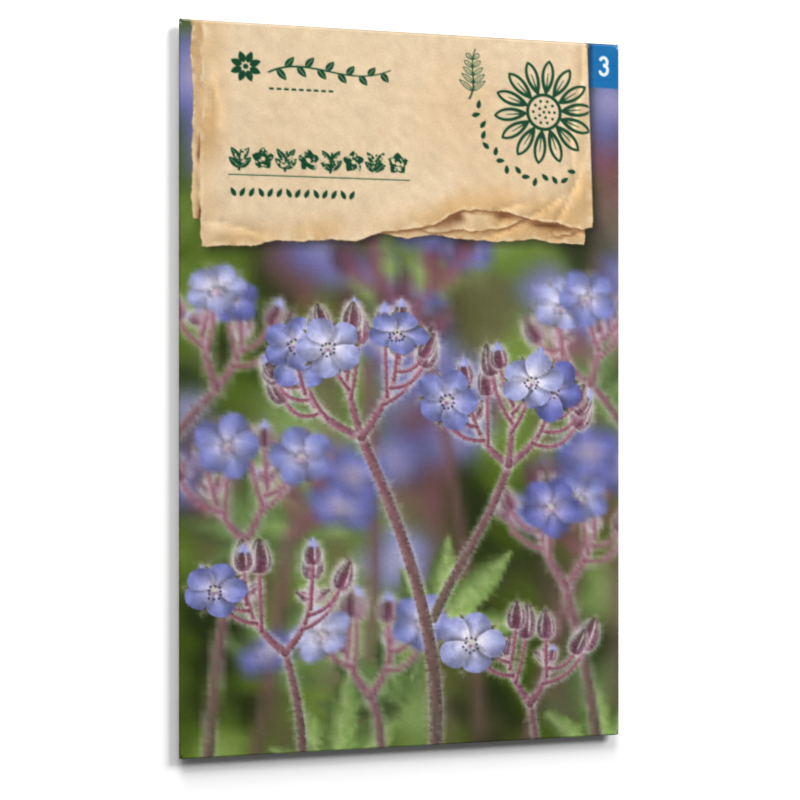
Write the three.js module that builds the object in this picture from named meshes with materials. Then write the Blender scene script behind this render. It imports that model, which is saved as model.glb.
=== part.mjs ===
// A sealed flower-seed packet, lying on its back.
//
// One die-cut sheet of coated paper makes the pocket. Its front panel carries two side flaps, a back
// panel and a closing flap, each joined to it along a fold:
//   - the side flaps turn in behind the front panel,
//   - the back panel turns up over them, and glue holds it to them,
//   - the closing flap turns down over the back panel once the seeds are in, and glue holds it there.
// The seeds lie loose between the front and back panels and make the lower part of the pocket swell.
//
// Millimetres. +X is the reader's right, +Y the top of the front, and +Z points out of the front.
// The origin is under the middle of the packet, on the surface that its back rests on.

import * as THREE from 'three';

// ---- Driving dimensions ----

const WIDTH = 95; // outside, fold to fold
const HEIGHT = 150; // outside, fold to fold

const PAPER = 0.15; // thickness of the sheet
const GLUE_LINE = 0.14; // room between two plies that are glued together
const GLUE_FILM = 0.04; // thickness of the dried glue in that room
const MOUTH = 0.25; // room between the front panel and the side flaps along the folds

const RIM_LIFT = 1.2; // how far the back's outline stands off the table
const POCKET_RISE = 2.5; // how much further the pocket opens over the seeds than at the folds
const SIDE_RUN = 26; // distance from a side fold at which the pocket is fully open
const BOTTOM_RUN = 24; // the same from the bottom fold
const TOP_RUN = 72; // the same from the top fold

const CORNER_SLIT = 1; // the folds stop this far short of the front panel's corners
const SIDE_FLAP = 12; // depth of a side flap
const SIDE_TAPER = 0.055; // share of its length that a side flap loses towards its free edge
const CLOSING_FLAP = 18; // depth of the closing flap
const CLOSING_TAPER = 0.1; // share of its length that the closing flap loses towards its free edge
const BACK_GAP = 2; // the back panel's free edge stops this far short of the top fold

const GLUE_STRIPE = 7; // width of a glue stripe
const GLUE_INSET = 2.5; // a stripe's distance from the fold beside it
const GLUE_ENDS = 8; // a stripe's ends stop this far short of the folds they point at

const SEEDS = 40;
const SEED_LENGTH = 4.6;
const SEED_WIDTH = 2.9;
const SEED_HEIGHT = 2.4;
const SEED_CLEARANCE = 0.06; // a seed's lowest point above the back panel
const SEED_SPACING = 5.3; // least distance between the middles of two seeds
const SEED_FIELD = { left: -21, right: 21, low: -55, high: 2 }; // where their middles lie

const COLUMNS = 18; // facets across the front panel
const ROWS = 30; // facets up the front panel
const FOLD_STEPS = 4; // facets round a fold

// ---- The pocket's form ----

// Distance between the middles of the two plies that each fold joins.
const SIDE_DROP = PAPER + MOUTH;
const BOTTOM_DROP = 2 * PAPER + GLUE_LINE + MOUTH;
const TOP_DROP = 3 * PAPER + 2 * GLUE_LINE + MOUTH;

// The front panel is flat paper up to where its folds begin.
const RIGHT = WIDTH / 2 - (SIDE_DROP + PAPER) / 2;
const BOTTOM = -HEIGHT / 2 + (BOTTOM_DROP + PAPER) / 2;
const TOP = HEIGHT / 2 - (TOP_DROP + PAPER) / 2;

const ease = (share) => Math.sin((Math.PI / 2) * THREE.MathUtils.clamp(share, 0, 1));

// How open the pocket is: 0 at the folds, and 1 over the seeds, where both panels are level.
function fullness(x, y) {
	const across = ease((RIGHT - Math.abs(x)) / SIDE_RUN);
	const fromBottom = ease((y - BOTTOM) / BOTTOM_RUN);
	const fromTop = ease((TOP - y) / TOP_RUN);
	return across * fromBottom * fromTop;
}

// Heights above the table: the back panel's underside, then the middle of each ply.
const underside = (x, y) => RIM_LIFT * (1 - fullness(x, y));
const backPly = (x, y) => underside(x, y) + PAPER / 2;
const closingPly = (x, y) => backPly(x, y) - GLUE_LINE - PAPER;
const sidePly = (x, y) => backPly(x, y) + GLUE_LINE + PAPER;
const frontPly = (x, y) => sidePly(x, y) + SIDE_DROP + POCKET_RISE * fullness(x, y);

// ---- The folded sheet ----

const UP = new THREE.Vector3(0, 0, 1);
const DOWN = new THREE.Vector3(0, 0, -1);

// Values from first to last, evenly spaced.
function spaced(first, last, count) {
	return Array.from({ length: count + 1 }, (_, i) => THREE.MathUtils.lerp(first, last, i / count));
}

// The folds reach from the second value to the last but one, so the outermost stay free at the corners.
function withCornerSlits(first, last, count) {
	return [first, ...spaced(first + CORNER_SLIT, last - CORNER_SLIT, count - 2), last];
}

// Paper of no thickness: points, the way the printed side faces at each, and the quads between them.
class Sheet {
	points = [];
	facings = [];
	quads = [];

	add(point, facing) {
		this.facings.push(facing);
		return this.points.push(point) - 1;
	}

	// Rows of points run anticlockwise round the front panel.
	join(row, next) {
		for (let i = 1; i < row.length; i++) {
			this.quads.push([row[i], row[i - 1], next[i - 1], next[i]]);
		}
	}

	// Takes the paper half a turn round a fold: away from the front panel, and down by drop.
	fold(edge, away, drop) {
		let row = edge;
		for (let step = 1; step <= FOLD_STEPS; step++) {
			const turn = (Math.PI * step) / FOLD_STEPS;
			const facing = away.clone().multiplyScalar(Math.sin(turn)).setZ(Math.cos(turn));
			const next = edge.map((index) => {
				const centre = this.points[index].clone().addScaledVector(DOWN, drop / 2);
				return this.add(centre.addScaledVector(facing, drop / 2), facing);
			});
			this.join(row, next);
			row = next;
		}
		return row;
	}

	// Carries the paper on from a fold. lay gives a point's place, the given share of the way along.
	extend(folded, count, lay) {
		let row = folded;
		for (let step = 1; step <= count; step++) {
			const next = folded.map((index) => this.add(lay(this.points[index], step / count), DOWN));
			this.join(row, next);
			row = next;
		}
	}

	// The paper given its thickness, as one closed body.
	solid(thickness) {
		const positions = [];
		this.points.forEach((point, i) => {
			for (const side of [0.5, -0.5]) {
				positions.push(...point.clone().addScaledVector(this.facings[i], side * thickness));
			}
		});
		const outer = (i) => 2 * i;
		const inner = (i) => 2 * i + 1;
		const triangles = [];
		const cover = (a, b, c, d) => triangles.push(a, b, c, a, c, d);
		const edges = new Map();
		for (const quad of this.quads) {
			cover(...quad.map(outer));
			cover(...quad.map(inner).reverse());
			quad.forEach((from, i) => {
				const to = quad[(i + 1) % 4];
				if (!edges.delete(`${to} ${from}`)) edges.set(`${from} ${to}`, [from, to]);
			});
		}
		for (const [from, to] of edges.values()) {
			cover(outer(to), outer(from), inner(from), inner(to));
		}
		const geometry = new THREE.BufferGeometry();
		geometry.setAttribute('position', new THREE.Float32BufferAttribute(positions, 3));
		geometry.setIndex(triangles);
		geometry.computeVertexNormals();
		return geometry;
	}
}

function packetGeometry() {
	const sheet = new Sheet();
	const columns = withCornerSlits(-RIGHT, RIGHT, COLUMNS);
	const rows = withCornerSlits(BOTTOM, TOP, ROWS);

	const front = rows.map((y) =>
		columns.map((x) => sheet.add(new THREE.Vector3(x, y, frontPly(x, y)), UP)));
	for (let row = 0; row < ROWS; row++) {
		for (let column = 0; column < COLUMNS; column++) {
			sheet.quads.push([
				front[row][column],
				front[row][column + 1],
				front[row + 1][column + 1],
				front[row + 1][column],
			]);
		}
	}

	// Each fold's line of points on the front panel, in order round it.
	const withoutEnds = (line) => line.slice(1, -1);
	const bottomEdge = withoutEnds(front[0]);
	const topEdge = withoutEnds(front[ROWS]).reverse();
	const rightEdge = withoutEnds(front.map((row) => row[COLUMNS]));
	const leftEdge = withoutEnds(front.map((row) => row[0])).reverse();

	const middle = (BOTTOM + TOP) / 2;
	for (const [edge, side] of [[rightEdge, 1], [leftEdge, -1]]) {
		const flap = sheet.fold(edge, new THREE.Vector3(side, 0, 0), SIDE_DROP);
		sheet.extend(flap, 3, (from, share) => {
			const x = from.x - side * SIDE_FLAP * share;
			const y = THREE.MathUtils.lerp(from.y, middle, SIDE_TAPER * share);
			return new THREE.Vector3(x, y, sidePly(x, y));
		});
	}

	const back = sheet.fold(bottomEdge, new THREE.Vector3(0, -1, 0), BOTTOM_DROP);
	sheet.extend(back, ROWS, (from, share) => {
		const y = THREE.MathUtils.lerp(BOTTOM, TOP - BACK_GAP, share);
		return new THREE.Vector3(from.x, y, backPly(from.x, y));
	});

	const closing = sheet.fold(topEdge, new THREE.Vector3(0, 1, 0), TOP_DROP);
	sheet.extend(closing, 4, (from, share) => {
		const x = from.x * (1 - CLOSING_TAPER * share);
		const y = TOP - CLOSING_FLAP * share;
		return new THREE.Vector3(x, y, closingPly(x, y));
	});
	return sheet.solid(PAPER);
}

// ---- The glue ----

// A film of glue between two plies, midway in the room above the lower one.
function glueGeometry(left, right, low, high, lowerPly) {
	const sheet = new Sheet();
	const countAcross = Math.ceil(((right - left) / WIDTH) * COLUMNS);
	const countUp = Math.ceil(((high - low) / HEIGHT) * ROWS);
	const film = spaced(low, high, countUp).map((y) =>
		spaced(right, left, countAcross).map((x) => {
			const z = lowerPly(x, y) + (PAPER + GLUE_LINE) / 2;
			return sheet.add(new THREE.Vector3(x, y, z), UP);
		}));
	for (let row = 1; row < film.length; row++) sheet.join(film[row - 1], film[row]);
	return sheet.solid(GLUE_FILM);
}

// ---- The seeds ----

// A nutlet lying along X: a ringed foot, a swollen body with a keel on top, and a blunt beak.
// Each ring gives its share of the length from the foot, and its share of the full half width.
const SEED_RINGS = [[0, 0.42], [0.07, 0.62], [0.16, 0.58], [0.4, 0.97], [0.68, 0.9], [0.9, 0.5]];
const SEED_SIDES = 8;
const KEEL = 0.16; // how far the keel stands out, as a share of the ring

function seedGeometry() {
	const positions = [-SEED_LENGTH / 2, 0, 0];
	for (const [along, girth] of SEED_RINGS) {
		for (let side = 0; side < SEED_SIDES; side++) {
			const angle = (2 * Math.PI * side) / SEED_SIDES;
			const keel = 1 + KEEL * Math.max(0, Math.sin(angle)) ** 4;
			positions.push(
				(along - 0.5) * SEED_LENGTH,
				(Math.cos(angle) * girth * SEED_WIDTH) / 2,
				(Math.sin(angle) * keel * girth * SEED_HEIGHT) / 2,
			);
		}
	}
	const beak = positions.length / 3;
	positions.push(SEED_LENGTH / 2, 0, 0);

	const at = (ring, side) => 1 + ring * SEED_SIDES + (side % SEED_SIDES);
	const last = SEED_RINGS.length - 1;
	const triangles = [];
	for (let side = 0; side < SEED_SIDES; side++) {
		triangles.push(0, at(0, side + 1), at(0, side));
		triangles.push(beak, at(last, side), at(last, side + 1));
		for (let ring = 0; ring < last; ring++) {
			triangles.push(at(ring, side), at(ring, side + 1), at(ring + 1, side + 1));
			triangles.push(at(ring, side), at(ring + 1, side + 1), at(ring + 1, side));
		}
	}
	const geometry = new THREE.BufferGeometry();
	geometry.setAttribute('position', new THREE.Float32BufferAttribute(positions, 3));
	geometry.setIndex(triangles);
	geometry.computeVertexNormals();
	return geometry;
}

// Random numbers from 0 to 1, the same in every run.
function seededRandom(seed) {
	let state = seed;
	return () => {
		state = (Math.imul(state, 1664525) + 1013904223) >>> 0;
		return state / 2 ** 32;
	};
}

// Places for the seeds' middles, none too near another.
function scatter(random) {
	const spots = [];
	while (spots.length < SEEDS) {
		const x = THREE.MathUtils.lerp(SEED_FIELD.left, SEED_FIELD.right, random());
		const y = THREE.MathUtils.lerp(SEED_FIELD.low, SEED_FIELD.high, random());
		const spot = new THREE.Vector2(x, y);
		if (spots.every((other) => other.distanceTo(spot) > SEED_SPACING)) spots.push(spot);
	}
	return spots;
}

// Lowers a seed until its lowest point is just clear of the back panel's inner face.
function settle(seed) {
	seed.updateMatrix();
	const corners = seed.geometry.getAttribute('position');
	const corner = new THREE.Vector3();
	let lift = -Infinity;
	for (let i = 0; i < corners.count; i++) {
		corner.fromBufferAttribute(corners, i).applyMatrix4(seed.matrix);
		lift = Math.max(lift, backPly(corner.x, corner.y) + PAPER / 2 - corner.z);
	}
	seed.position.z += lift + SEED_CLEARANCE;
}

// ---- The packet ----

const printedPaper = { color: 0xb9a87c, roughness: 0.45, metalness: 0 };
const driedGlue = { color: 0xe9e4d2, roughness: 0.35, metalness: 0 };
const seedCoat = { color: 0x3b2a20, roughness: 0.75, metalness: 0 };

function named(name, geometry, finish) {
	const mesh = new THREE.Mesh(geometry, new THREE.MeshStandardMaterial(finish));
	mesh.name = name;
	return mesh;
}

function buildGlue() {
	const glue = new THREE.Group();
	const outer = RIGHT - GLUE_INSET;
	const inner = outer - GLUE_STRIPE;
	const low = BOTTOM + GLUE_ENDS;
	const high = TOP - GLUE_ENDS;
	const closingHigh = TOP - 2 * GLUE_INSET;
	const closingLow = closingHigh - GLUE_STRIPE;
	const closingEnd = RIGHT - GLUE_ENDS;
	glue.add(
		named('glue_left', glueGeometry(-outer, -inner, low, high, backPly), driedGlue),
		named('glue_right', glueGeometry(inner, outer, low, high, backPly), driedGlue),
		named(
			'glue_closing',
			glueGeometry(-closingEnd, closingEnd, closingLow, closingHigh, closingPly),
			driedGlue,
		),
	);
	return glue;
}

function buildSeeds() {
	const seeds = new THREE.Group();
	const random = seededRandom(7);
	const geometry = seedGeometry();
	scatter(random).forEach((spot, i) => {
		const seed = named(`seed_${String(i + 1).padStart(2, '0')}`, geometry, seedCoat);
		seed.position.set(spot.x, spot.y, 0);
		seed.rotation.set((random() - 0.5) * 0.5, 0, random() * 2 * Math.PI, 'ZYX');
		settle(seed);
		seeds.add(seed);
	});
	return seeds;
}

const part = new THREE.Group();
part.add(named('packet', packetGeometry(), printedPaper));
part.add(buildGlue());
part.add(buildSeeds());

export default part;
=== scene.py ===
# A sealed packet of flower seeds, lying on its back on a pale table.
#
# It is built in the order in which a packet is made: the print on the flat sheet, front and back, then the
# sheet folded into a pocket, the glue, the seeds, and last the table, the light and the camera. Lengths are
# in millimetres until a mesh is written, which is in metres. +X is the reader's right, +Y the top of the
# front and +Z points out of the front.

import itertools
import math

import bpy
import numpy as np
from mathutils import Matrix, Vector
from mathutils.geometry import delaunay_2d_cdt


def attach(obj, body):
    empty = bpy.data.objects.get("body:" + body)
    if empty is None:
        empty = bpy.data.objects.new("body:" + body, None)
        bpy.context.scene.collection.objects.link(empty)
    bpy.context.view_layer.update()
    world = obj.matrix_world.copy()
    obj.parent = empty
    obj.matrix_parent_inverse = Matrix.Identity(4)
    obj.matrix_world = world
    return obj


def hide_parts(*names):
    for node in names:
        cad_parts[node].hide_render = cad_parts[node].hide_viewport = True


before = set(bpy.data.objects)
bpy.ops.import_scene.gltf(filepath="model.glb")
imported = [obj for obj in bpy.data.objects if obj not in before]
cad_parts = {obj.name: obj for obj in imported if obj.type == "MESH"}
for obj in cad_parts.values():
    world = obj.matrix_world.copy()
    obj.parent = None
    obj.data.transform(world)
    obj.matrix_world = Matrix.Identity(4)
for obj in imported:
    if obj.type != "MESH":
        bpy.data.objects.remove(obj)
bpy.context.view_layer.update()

# ==================================================================== the printing
# Offset print on coated paper. Each picture is laid down film by film on a fine grid of dots, in sRGB, and
# runs past the cut and round the folds. The sheet's points take their ink from it further down.

WIDTH, HEIGHT = 95.0, 150.0     # the folded packet, fold to fold
DOTS = 10                       # dots of ink in a millimetre
BLEED = 6.0                     # the print runs this far past the folds
LEFT_DOT, LOW_DOT = -WIDTH / 2 - BLEED, -HEIGHT / 2 - BLEED
ACROSS, UP = [int((size + 2 * BLEED) * DOTS) for size in (WIDTH, HEIGHT)]
DOT_X = ((np.arange(ACROSS, dtype=np.float32) + 0.5) / DOTS + LEFT_DOT)[None, :]
DOT_Y = ((np.arange(UP, dtype=np.float32) + 0.5) / DOTS + LOW_DOT)[:, None]


def srgb(code):
    """A hex colour as three numbers from 0 to 1."""
    return np.array([int(code[i:i + 2], 16) / 255 for i in (0, 2, 4)], np.float32)


def inks(*codes):
    return [srgb(code) for code in codes]


def soften(field, reach):
    """Blurs a field by a Gaussian of that standard deviation, in mm."""
    up = np.fft.fftfreq(field.shape[0])[:, None]
    across = np.fft.rfftfreq(field.shape[1])[None, :]
    keep = np.exp(-2 * (math.pi * reach * DOTS) ** 2 * (across ** 2 + up ** 2)).astype(np.float32)
    spectrum = np.fft.rfft2(field, axes=(0, 1)) * keep.reshape(keep.shape + (1,) * (field.ndim - 2))
    return np.fft.irfft2(spectrum, s=field.shape[:2], axes=(0, 1)).astype(np.float32)


def clouds(size, seed):
    """Soft random patches about that many mm across, with mean 0 and deviation 1."""
    field = soften(np.random.default_rng(seed).standard_normal((UP, ACROSS), np.float32), size / 3)
    return (field - field.mean()) / field.std()


def step(low, high, value):
    """0 below low, 1 above high, and a smooth rise between."""
    share = np.clip((value - low) / (high - low), 0, 1)
    return share * share * (3 - 2 * share)


def mix(a, b, share):
    share = np.asarray(share, np.float32)[..., None]
    return a * (1 - share) + b * share


def arch(share, skew, blunt):
    """A hump over shares 0 to 1: skew moves its top towards the foot, and a small blunt makes it full."""
    return np.clip(np.sin(math.pi * np.clip(share, 0, 1) ** skew), 0, 1) ** blunt


MOTTLE = 0.6 * clouds(1.3, 5) + 0.4 * clouds(0.5, 6)    # the fine unevenness of living things


class Layer:
    """One film of ink: colour times cover, and cover, on a grid of dots."""

    def __init__(self):
        self.ink = np.zeros((UP, ACROSS, 3), np.float32)
        self.cover = np.zeros((UP, ACROSS), np.float32)

    def window(self, low, high):
        """The dots between two corners in mm: their slices and their places, or None off the print."""
        start, most = np.array([LEFT_DOT, LOW_DOT]), (ACROSS, UP)
        i0, j0 = np.maximum(0, ((low - start) * DOTS).astype(int))
        i1, j1 = np.minimum(most, ((high - start) * DOTS).astype(int) + 2)
        if i1 <= i0 or j1 <= j0:
            return None
        return (slice(j0, j1), slice(i0, i1)), DOT_X[:, i0:i1], DOT_Y[j0:j1]

    def lay(self, where, cover, colour):
        cover = np.clip(cover, 0, 1).astype(np.float32)
        self.ink[where] = self.ink[where] * (1 - cover[..., None]) + colour * cover[..., None]
        self.cover[where] = self.cover[where] * (1 - cover) + cover

    def over(self, below, blur=0.0):
        """This layer on top of another one's ink, softened as if out of focus."""
        ink, cover = (soften(self.ink, blur), soften(self.cover, blur)) if blur else (self.ink, self.cover)
        return below * (1 - cover[..., None]) + ink


def bend(points, count):
    """A smooth curve through the control points of a Bezier curve."""
    share = np.linspace(0, 1, count)[:, None]
    degree = len(points) - 1
    return sum(math.comb(degree, k) * share ** k * (1 - share) ** (degree - k) * point
               for k, point in enumerate(np.asarray(points, float)))


def heading(degrees):
    return np.array([math.cos(math.radians(degrees)), math.sin(math.radians(degrees))])


def hairs(layer, roots, tips, strength, colour):
    """Fine hairs from roots to tips, thinner towards the tip."""
    cover = np.zeros((UP, ACROSS), np.float32)
    reach = np.linalg.norm(tips - roots, axis=1).max()
    for share in np.linspace(0, 1, max(4, int(reach * DOTS * 1.3))):
        spot = (roots + (tips - roots) * share - (LEFT_DOT, LOW_DOT)) * DOTS - 0.5
        for corner in itertools.product((0, 1), repeat=2):
            dot = np.floor(spot).astype(int)
            weight = np.abs(1 - np.array(corner) - (spot - dot)).prod(1) * (1 - 0.6 * share)
            dot += corner
            on = ((dot >= 0) & (dot < (ACROSS, UP))).all(1)
            np.maximum.at(cover, (dot[on, 1], dot[on, 0]), weight[on] * strength)
    rows, columns = np.flatnonzero(cover.any(1)), np.flatnonzero(cover.any(0))
    if len(rows):
        where = (slice(rows[0], rows[-1] + 1), slice(columns[0], columns[-1] + 1))
        layer.lay(where, cover[where], colour)


DOWN = 0.9                                          # the pale down's reach, in mm
STALK_HAIRS, SEPAL_HAIRS, BUD_HAIRS = 18, 16, 75    # to each mm of length
STALK_STEPS = 36


def stem(layer, points, thick, colours, rng, fuzz=0.0):
    """A round stalk along a curve. thick gives its width at both ends, colours its ink at both ends."""
    line = bend(points, STALK_STEPS)
    size = np.linspace(*thick, STALK_STEPS) / 2
    pad = max(thick) + 0.3 + DOWN
    found = layer.window(line.min(0) - pad, line.max(0) + pad)
    if found is None:
        return line
    where, x, y = found
    near = np.full((y.size, x.size), 9.0, np.float32)
    side, along = np.zeros_like(near), np.zeros_like(near)
    for k, (a, b) in enumerate(zip(line, line[1:])):
        low, high = np.minimum(a, b) - pad, np.maximum(a, b) + pad
        columns = slice(*np.searchsorted(x[0], (low[0], high[0])))
        rows = slice(*np.searchsorted(y[:, 0], (low[1], high[1])))
        px, py, d = x[:, columns] - a[0], y[rows] - a[1], b - a
        length = math.hypot(*d) + 1e-9
        t = np.clip((px * d[0] + py * d[1]) / length ** 2, 0, 1)
        gap = np.hypot(px - t * d[0], py - t * d[1]) / (size[k] * (1 - t) + size[k + 1] * t)
        hit = gap < near[rows, columns]
        for field, value in ((near, gap), (side, (px * d[1] - py * d[0]) / (length * size[k])),
                             (along, (k + t) / (STALK_STEPS - 1))):
            field[rows, columns] = np.where(hit, value, field[rows, columns])
    mean = size.mean()
    edge = 0.08 / max(mean, 0.08)
    if fuzz:
        layer.lay(where, 0.28 * step(mean + DOWN * fuzz / 1.3, mean * 0.8, near * mean), srgb('d6cccb'))
    light = 0.70 + 0.45 * np.sqrt(1 - np.clip(near, 0, 1) ** 2) - 0.16 * np.clip(side, -1, 1)
    ripple = 1 + 0.05 * np.sin(along * rng.uniform(20, 60) + side * 3)
    layer.lay(where, 1 - step(1 - edge, 1 + edge, near), mix(*colours, along) * (light * ripple)[..., None])
    if fuzz:
        number = int(np.linalg.norm(np.diff(line, axis=0), axis=1).sum() * STALK_HAIRS)
        at = rng.uniform(0, STALK_STEPS - 1.001, number)
        k = at.astype(int)
        way = line[k + 1] - line[k]
        roots = line[k] + way * (at - k)[:, None]
        way /= np.linalg.norm(way, axis=1)[:, None] + 1e-9
        out = np.c_[-way[:, 1], way[:, 0]] * rng.choice([-1, 1], number)[:, None]
        out = out + way * rng.uniform(-0.5, 0.5, number)[:, None]
        reach = rng.uniform(0.5, 1.0, number)[:, None] * fuzz
        roots = roots + out * size[k][:, None] * rng.uniform(0.5, 1.0, (number, 1))
        hairs(layer, roots, roots + out * reach, 0.62, srgb('f1eaee'))
    return line


def blade(layer, base, tip, half):
    """The dots round a shape from base to tip, that is half wide: a width in mm, or the side's own way.

    Gives where they are, their share along it, clipped and not, their share across it, its length and half
    its width, or None if it is off the print.
    """
    base, run = np.asarray(base, float), np.asarray(tip, float) - base
    size = math.hypot(*run)
    if np.isscalar(half):
        half = half * np.array([-run[1], run[0]]) / size
    corners = np.array([base + k * half + s * run for k in (-1.3, 1.3) for s in (-0.15, 1.15)])
    found = layer.window(corners.min(0), corners.max(0))
    det = run[0] * half[1] - run[1] * half[0]
    if found is None or abs(det) < 1e-4:
        return None
    where, x, y = found
    px, py = x - base[0], y - base[1]
    along = (px * half[1] - py * half[0]) / det
    return where, np.clip(along, 0, 1), along, (run[0] * py - run[1] * px) / det, size, math.hypot(*half)


def trim(along, across, width, shape, low, high):
    """Cuts a blade to shape. Gives its soft-edged cover, and each dot's share of the way to the edge."""
    outline = np.where((along < 0) | (along > 1), -1, shape)
    return step(low, high, (outline - np.abs(across)) * width), across / np.maximum(outline, 0.05)


def petal(layer, base, tip, half, tones, rng):
    """A broad round petal, pale at its foot and deep at its rim, with fine veins that fan out."""
    turn = 1 if rng.uniform(-1, 1) >= 0 else -1
    found = blade(layer, base, tip, half)
    if found is None:
        return
    where, s, along, across, _, width = found
    wave = rng.uniform(-0.05, 0.05) * np.sin(s * rng.uniform(5, 9) + rng.uniform(0, 6))
    cover, t = trim(along, across, width, arch(s, 1.4, 0.6) * (1 + wave), -0.07, 0.10)
    foot, body, deep = tones
    colour = mix(foot, body, step(0.05, 0.55, s + 0.04 * np.sin(t * 9)))
    colour = mix(colour, deep, 0.7 * step(0.45, 1.0, s + 0.1 * np.abs(t)))
    spread = t * (3.5 + 1.5 * step(0.4, 0.7, s))
    veins = np.exp(-((spread % 1 - 0.5) / 0.16) ** 2) * step(0.02, 0.2, s) * step(1.0, 0.75, s)
    light = 1.0 + 0.09 * np.tanh(t * 3) * turn + 0.06 * np.cos(t * math.pi)
    light = light - 0.11 * veins + 0.10 * step(0.75, 1.0, np.abs(t)) + 0.045 * MOTTLE[where]
    shade = 1 - 0.20 * (1 - step(0.0, 0.2, s))
    layer.lay(where, cover, np.clip(colour * (light * shade)[..., None], 0, 1))


def shadow(layer, base, tip, half):
    """The soft shade that a petal drops on what is under it."""
    found = blade(layer, base, tip, half)
    if found:
        where, s, along, across, _, width = found
        cover = 0.30 * step(-0.9, 0.5, (arch(s, 0.9, 0.8) - np.abs(across)) * width)
        cover = cover * step(-0.12, 0.1, along) * step(-1.12, -0.9, -along)
        layer.lay(where, cover * (layer.cover[where] > 0.3), srgb('2a2a3a'))


def sepal(layer, foot, tip, side, rng, fuzz):
    """A narrow hairy leaf of the cup behind the petals."""
    found = blade(layer, foot, tip, side)
    if found is None:
        return
    where, s, along, across, length, width = found
    cover, t = trim(along, across, width, arch(s, 0.7, 0.8), -0.06, 0.08)
    light = 0.80 + 0.35 * np.exp(-(t / 0.3) ** 2) + 0.15 * t
    colour = mix(srgb('7b5663'), srgb('8a8a58'), step(0.2, 1.0, s)) * light[..., None]
    layer.lay(where, cover, np.clip(colour, 0, 1))
    if fuzz:
        number = int(length * SEPAL_HAIRS)
        share = rng.uniform(0.1, 1.0, (number, 1))
        way = (tip - foot) / length
        out = np.array([-way[1], way[0]]) * rng.choice([-1, 1], (number, 1))
        roots = foot + share * (tip - foot) + arch(share, 0.7, 1) * width * out
        reach = out * rng.uniform(0.4, 1.1, (number, 1)) + way * 0.5
        hairs(layer, roots, roots + reach, 0.5, srgb('ece4ea'))


def dab(layer, spot, radius, colour, strength=1.0):
    """A small round spot."""
    found = layer.window(spot - radius - 0.2, spot + radius + 0.2)
    if found:
        where, x, y = found
        off = np.hypot(x - spot[0], y - spot[1])
        layer.lay(where, strength * step(radius + 0.1, radius - 0.1, off), colour)


LILAC, VIOLET = inks('d8cfe8', '979dd6', '747bc2'), inks('cfc0e2', '8387cb', '5b62b0')
PALE = inks('ebe4f4', 'b9bce2', '9096d0')


def blossom(layer, centre, size, tilt, spin, tones, rng, fuzz):
    """An open flower of five round petals seen from the front, tipped back by tilt and turned by spin."""
    centre, wide = np.asarray(centre, float), heading(spin)
    tall = heading(spin + 90) * math.cos(math.radians(tilt))

    def place(angle, radius):
        return centre + radius * (math.cos(angle) * wide + math.sin(angle) * tall)

    def side(angle, radius):
        return (place(angle + 0.5, radius) - place(angle - 0.5, radius)) * 0.5

    angles = rng.uniform(0, 2 * math.pi) + np.arange(5) * 2 * math.pi / 5
    for angle in angles + math.pi / 5:
        tip = place(angle + rng.uniform(-0.08, 0.08), size * rng.uniform(0.9, 1.0))
        sepal(layer, place(angle, 0.3 * size), tip, side(angle, 0.2 * size), rng, fuzz)
    for k in rng.permutation(5):
        angle = angles[k] + rng.uniform(-0.06, 0.06)
        foot, tip = place(angle, 0.04 * size), place(angle, size * rng.uniform(0.92, 1.05))
        half = side(angle, 0.9 * size)
        shadow(layer, foot, tip + np.array([0.3, -0.4]), half * 1.06)
        petal(layer, foot, tip, half, tones, rng)

    # In the middle, a pale green heart, and ten thin threads with dark grains round a rosy column.
    rise = -tall / (np.linalg.norm(tall) + 1e-9) * math.sin(math.radians(tilt))
    dab(layer, centre, 0.09 * size, srgb('dfe3c4'), 0.8)
    angles = rng.uniform(0, 2 * math.pi) + np.arange(10)[:, None] * 2 * math.pi / 10
    reach = size * rng.uniform(0.16, 0.26, (10, 1))
    ends = centre + (np.cos(angles) * wide + np.sin(angles) * tall) * reach + rise * size * 0.2
    hairs(layer, np.repeat(centre[None], 10, 0), ends, 0.8, srgb('e3cfe6'))
    for end in ends:
        dab(layer, end, 0.24, srgb('33304f'), 0.9)
    dab(layer, centre + rise * size * 0.24, 0.34, srgb('b06f95'))


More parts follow.
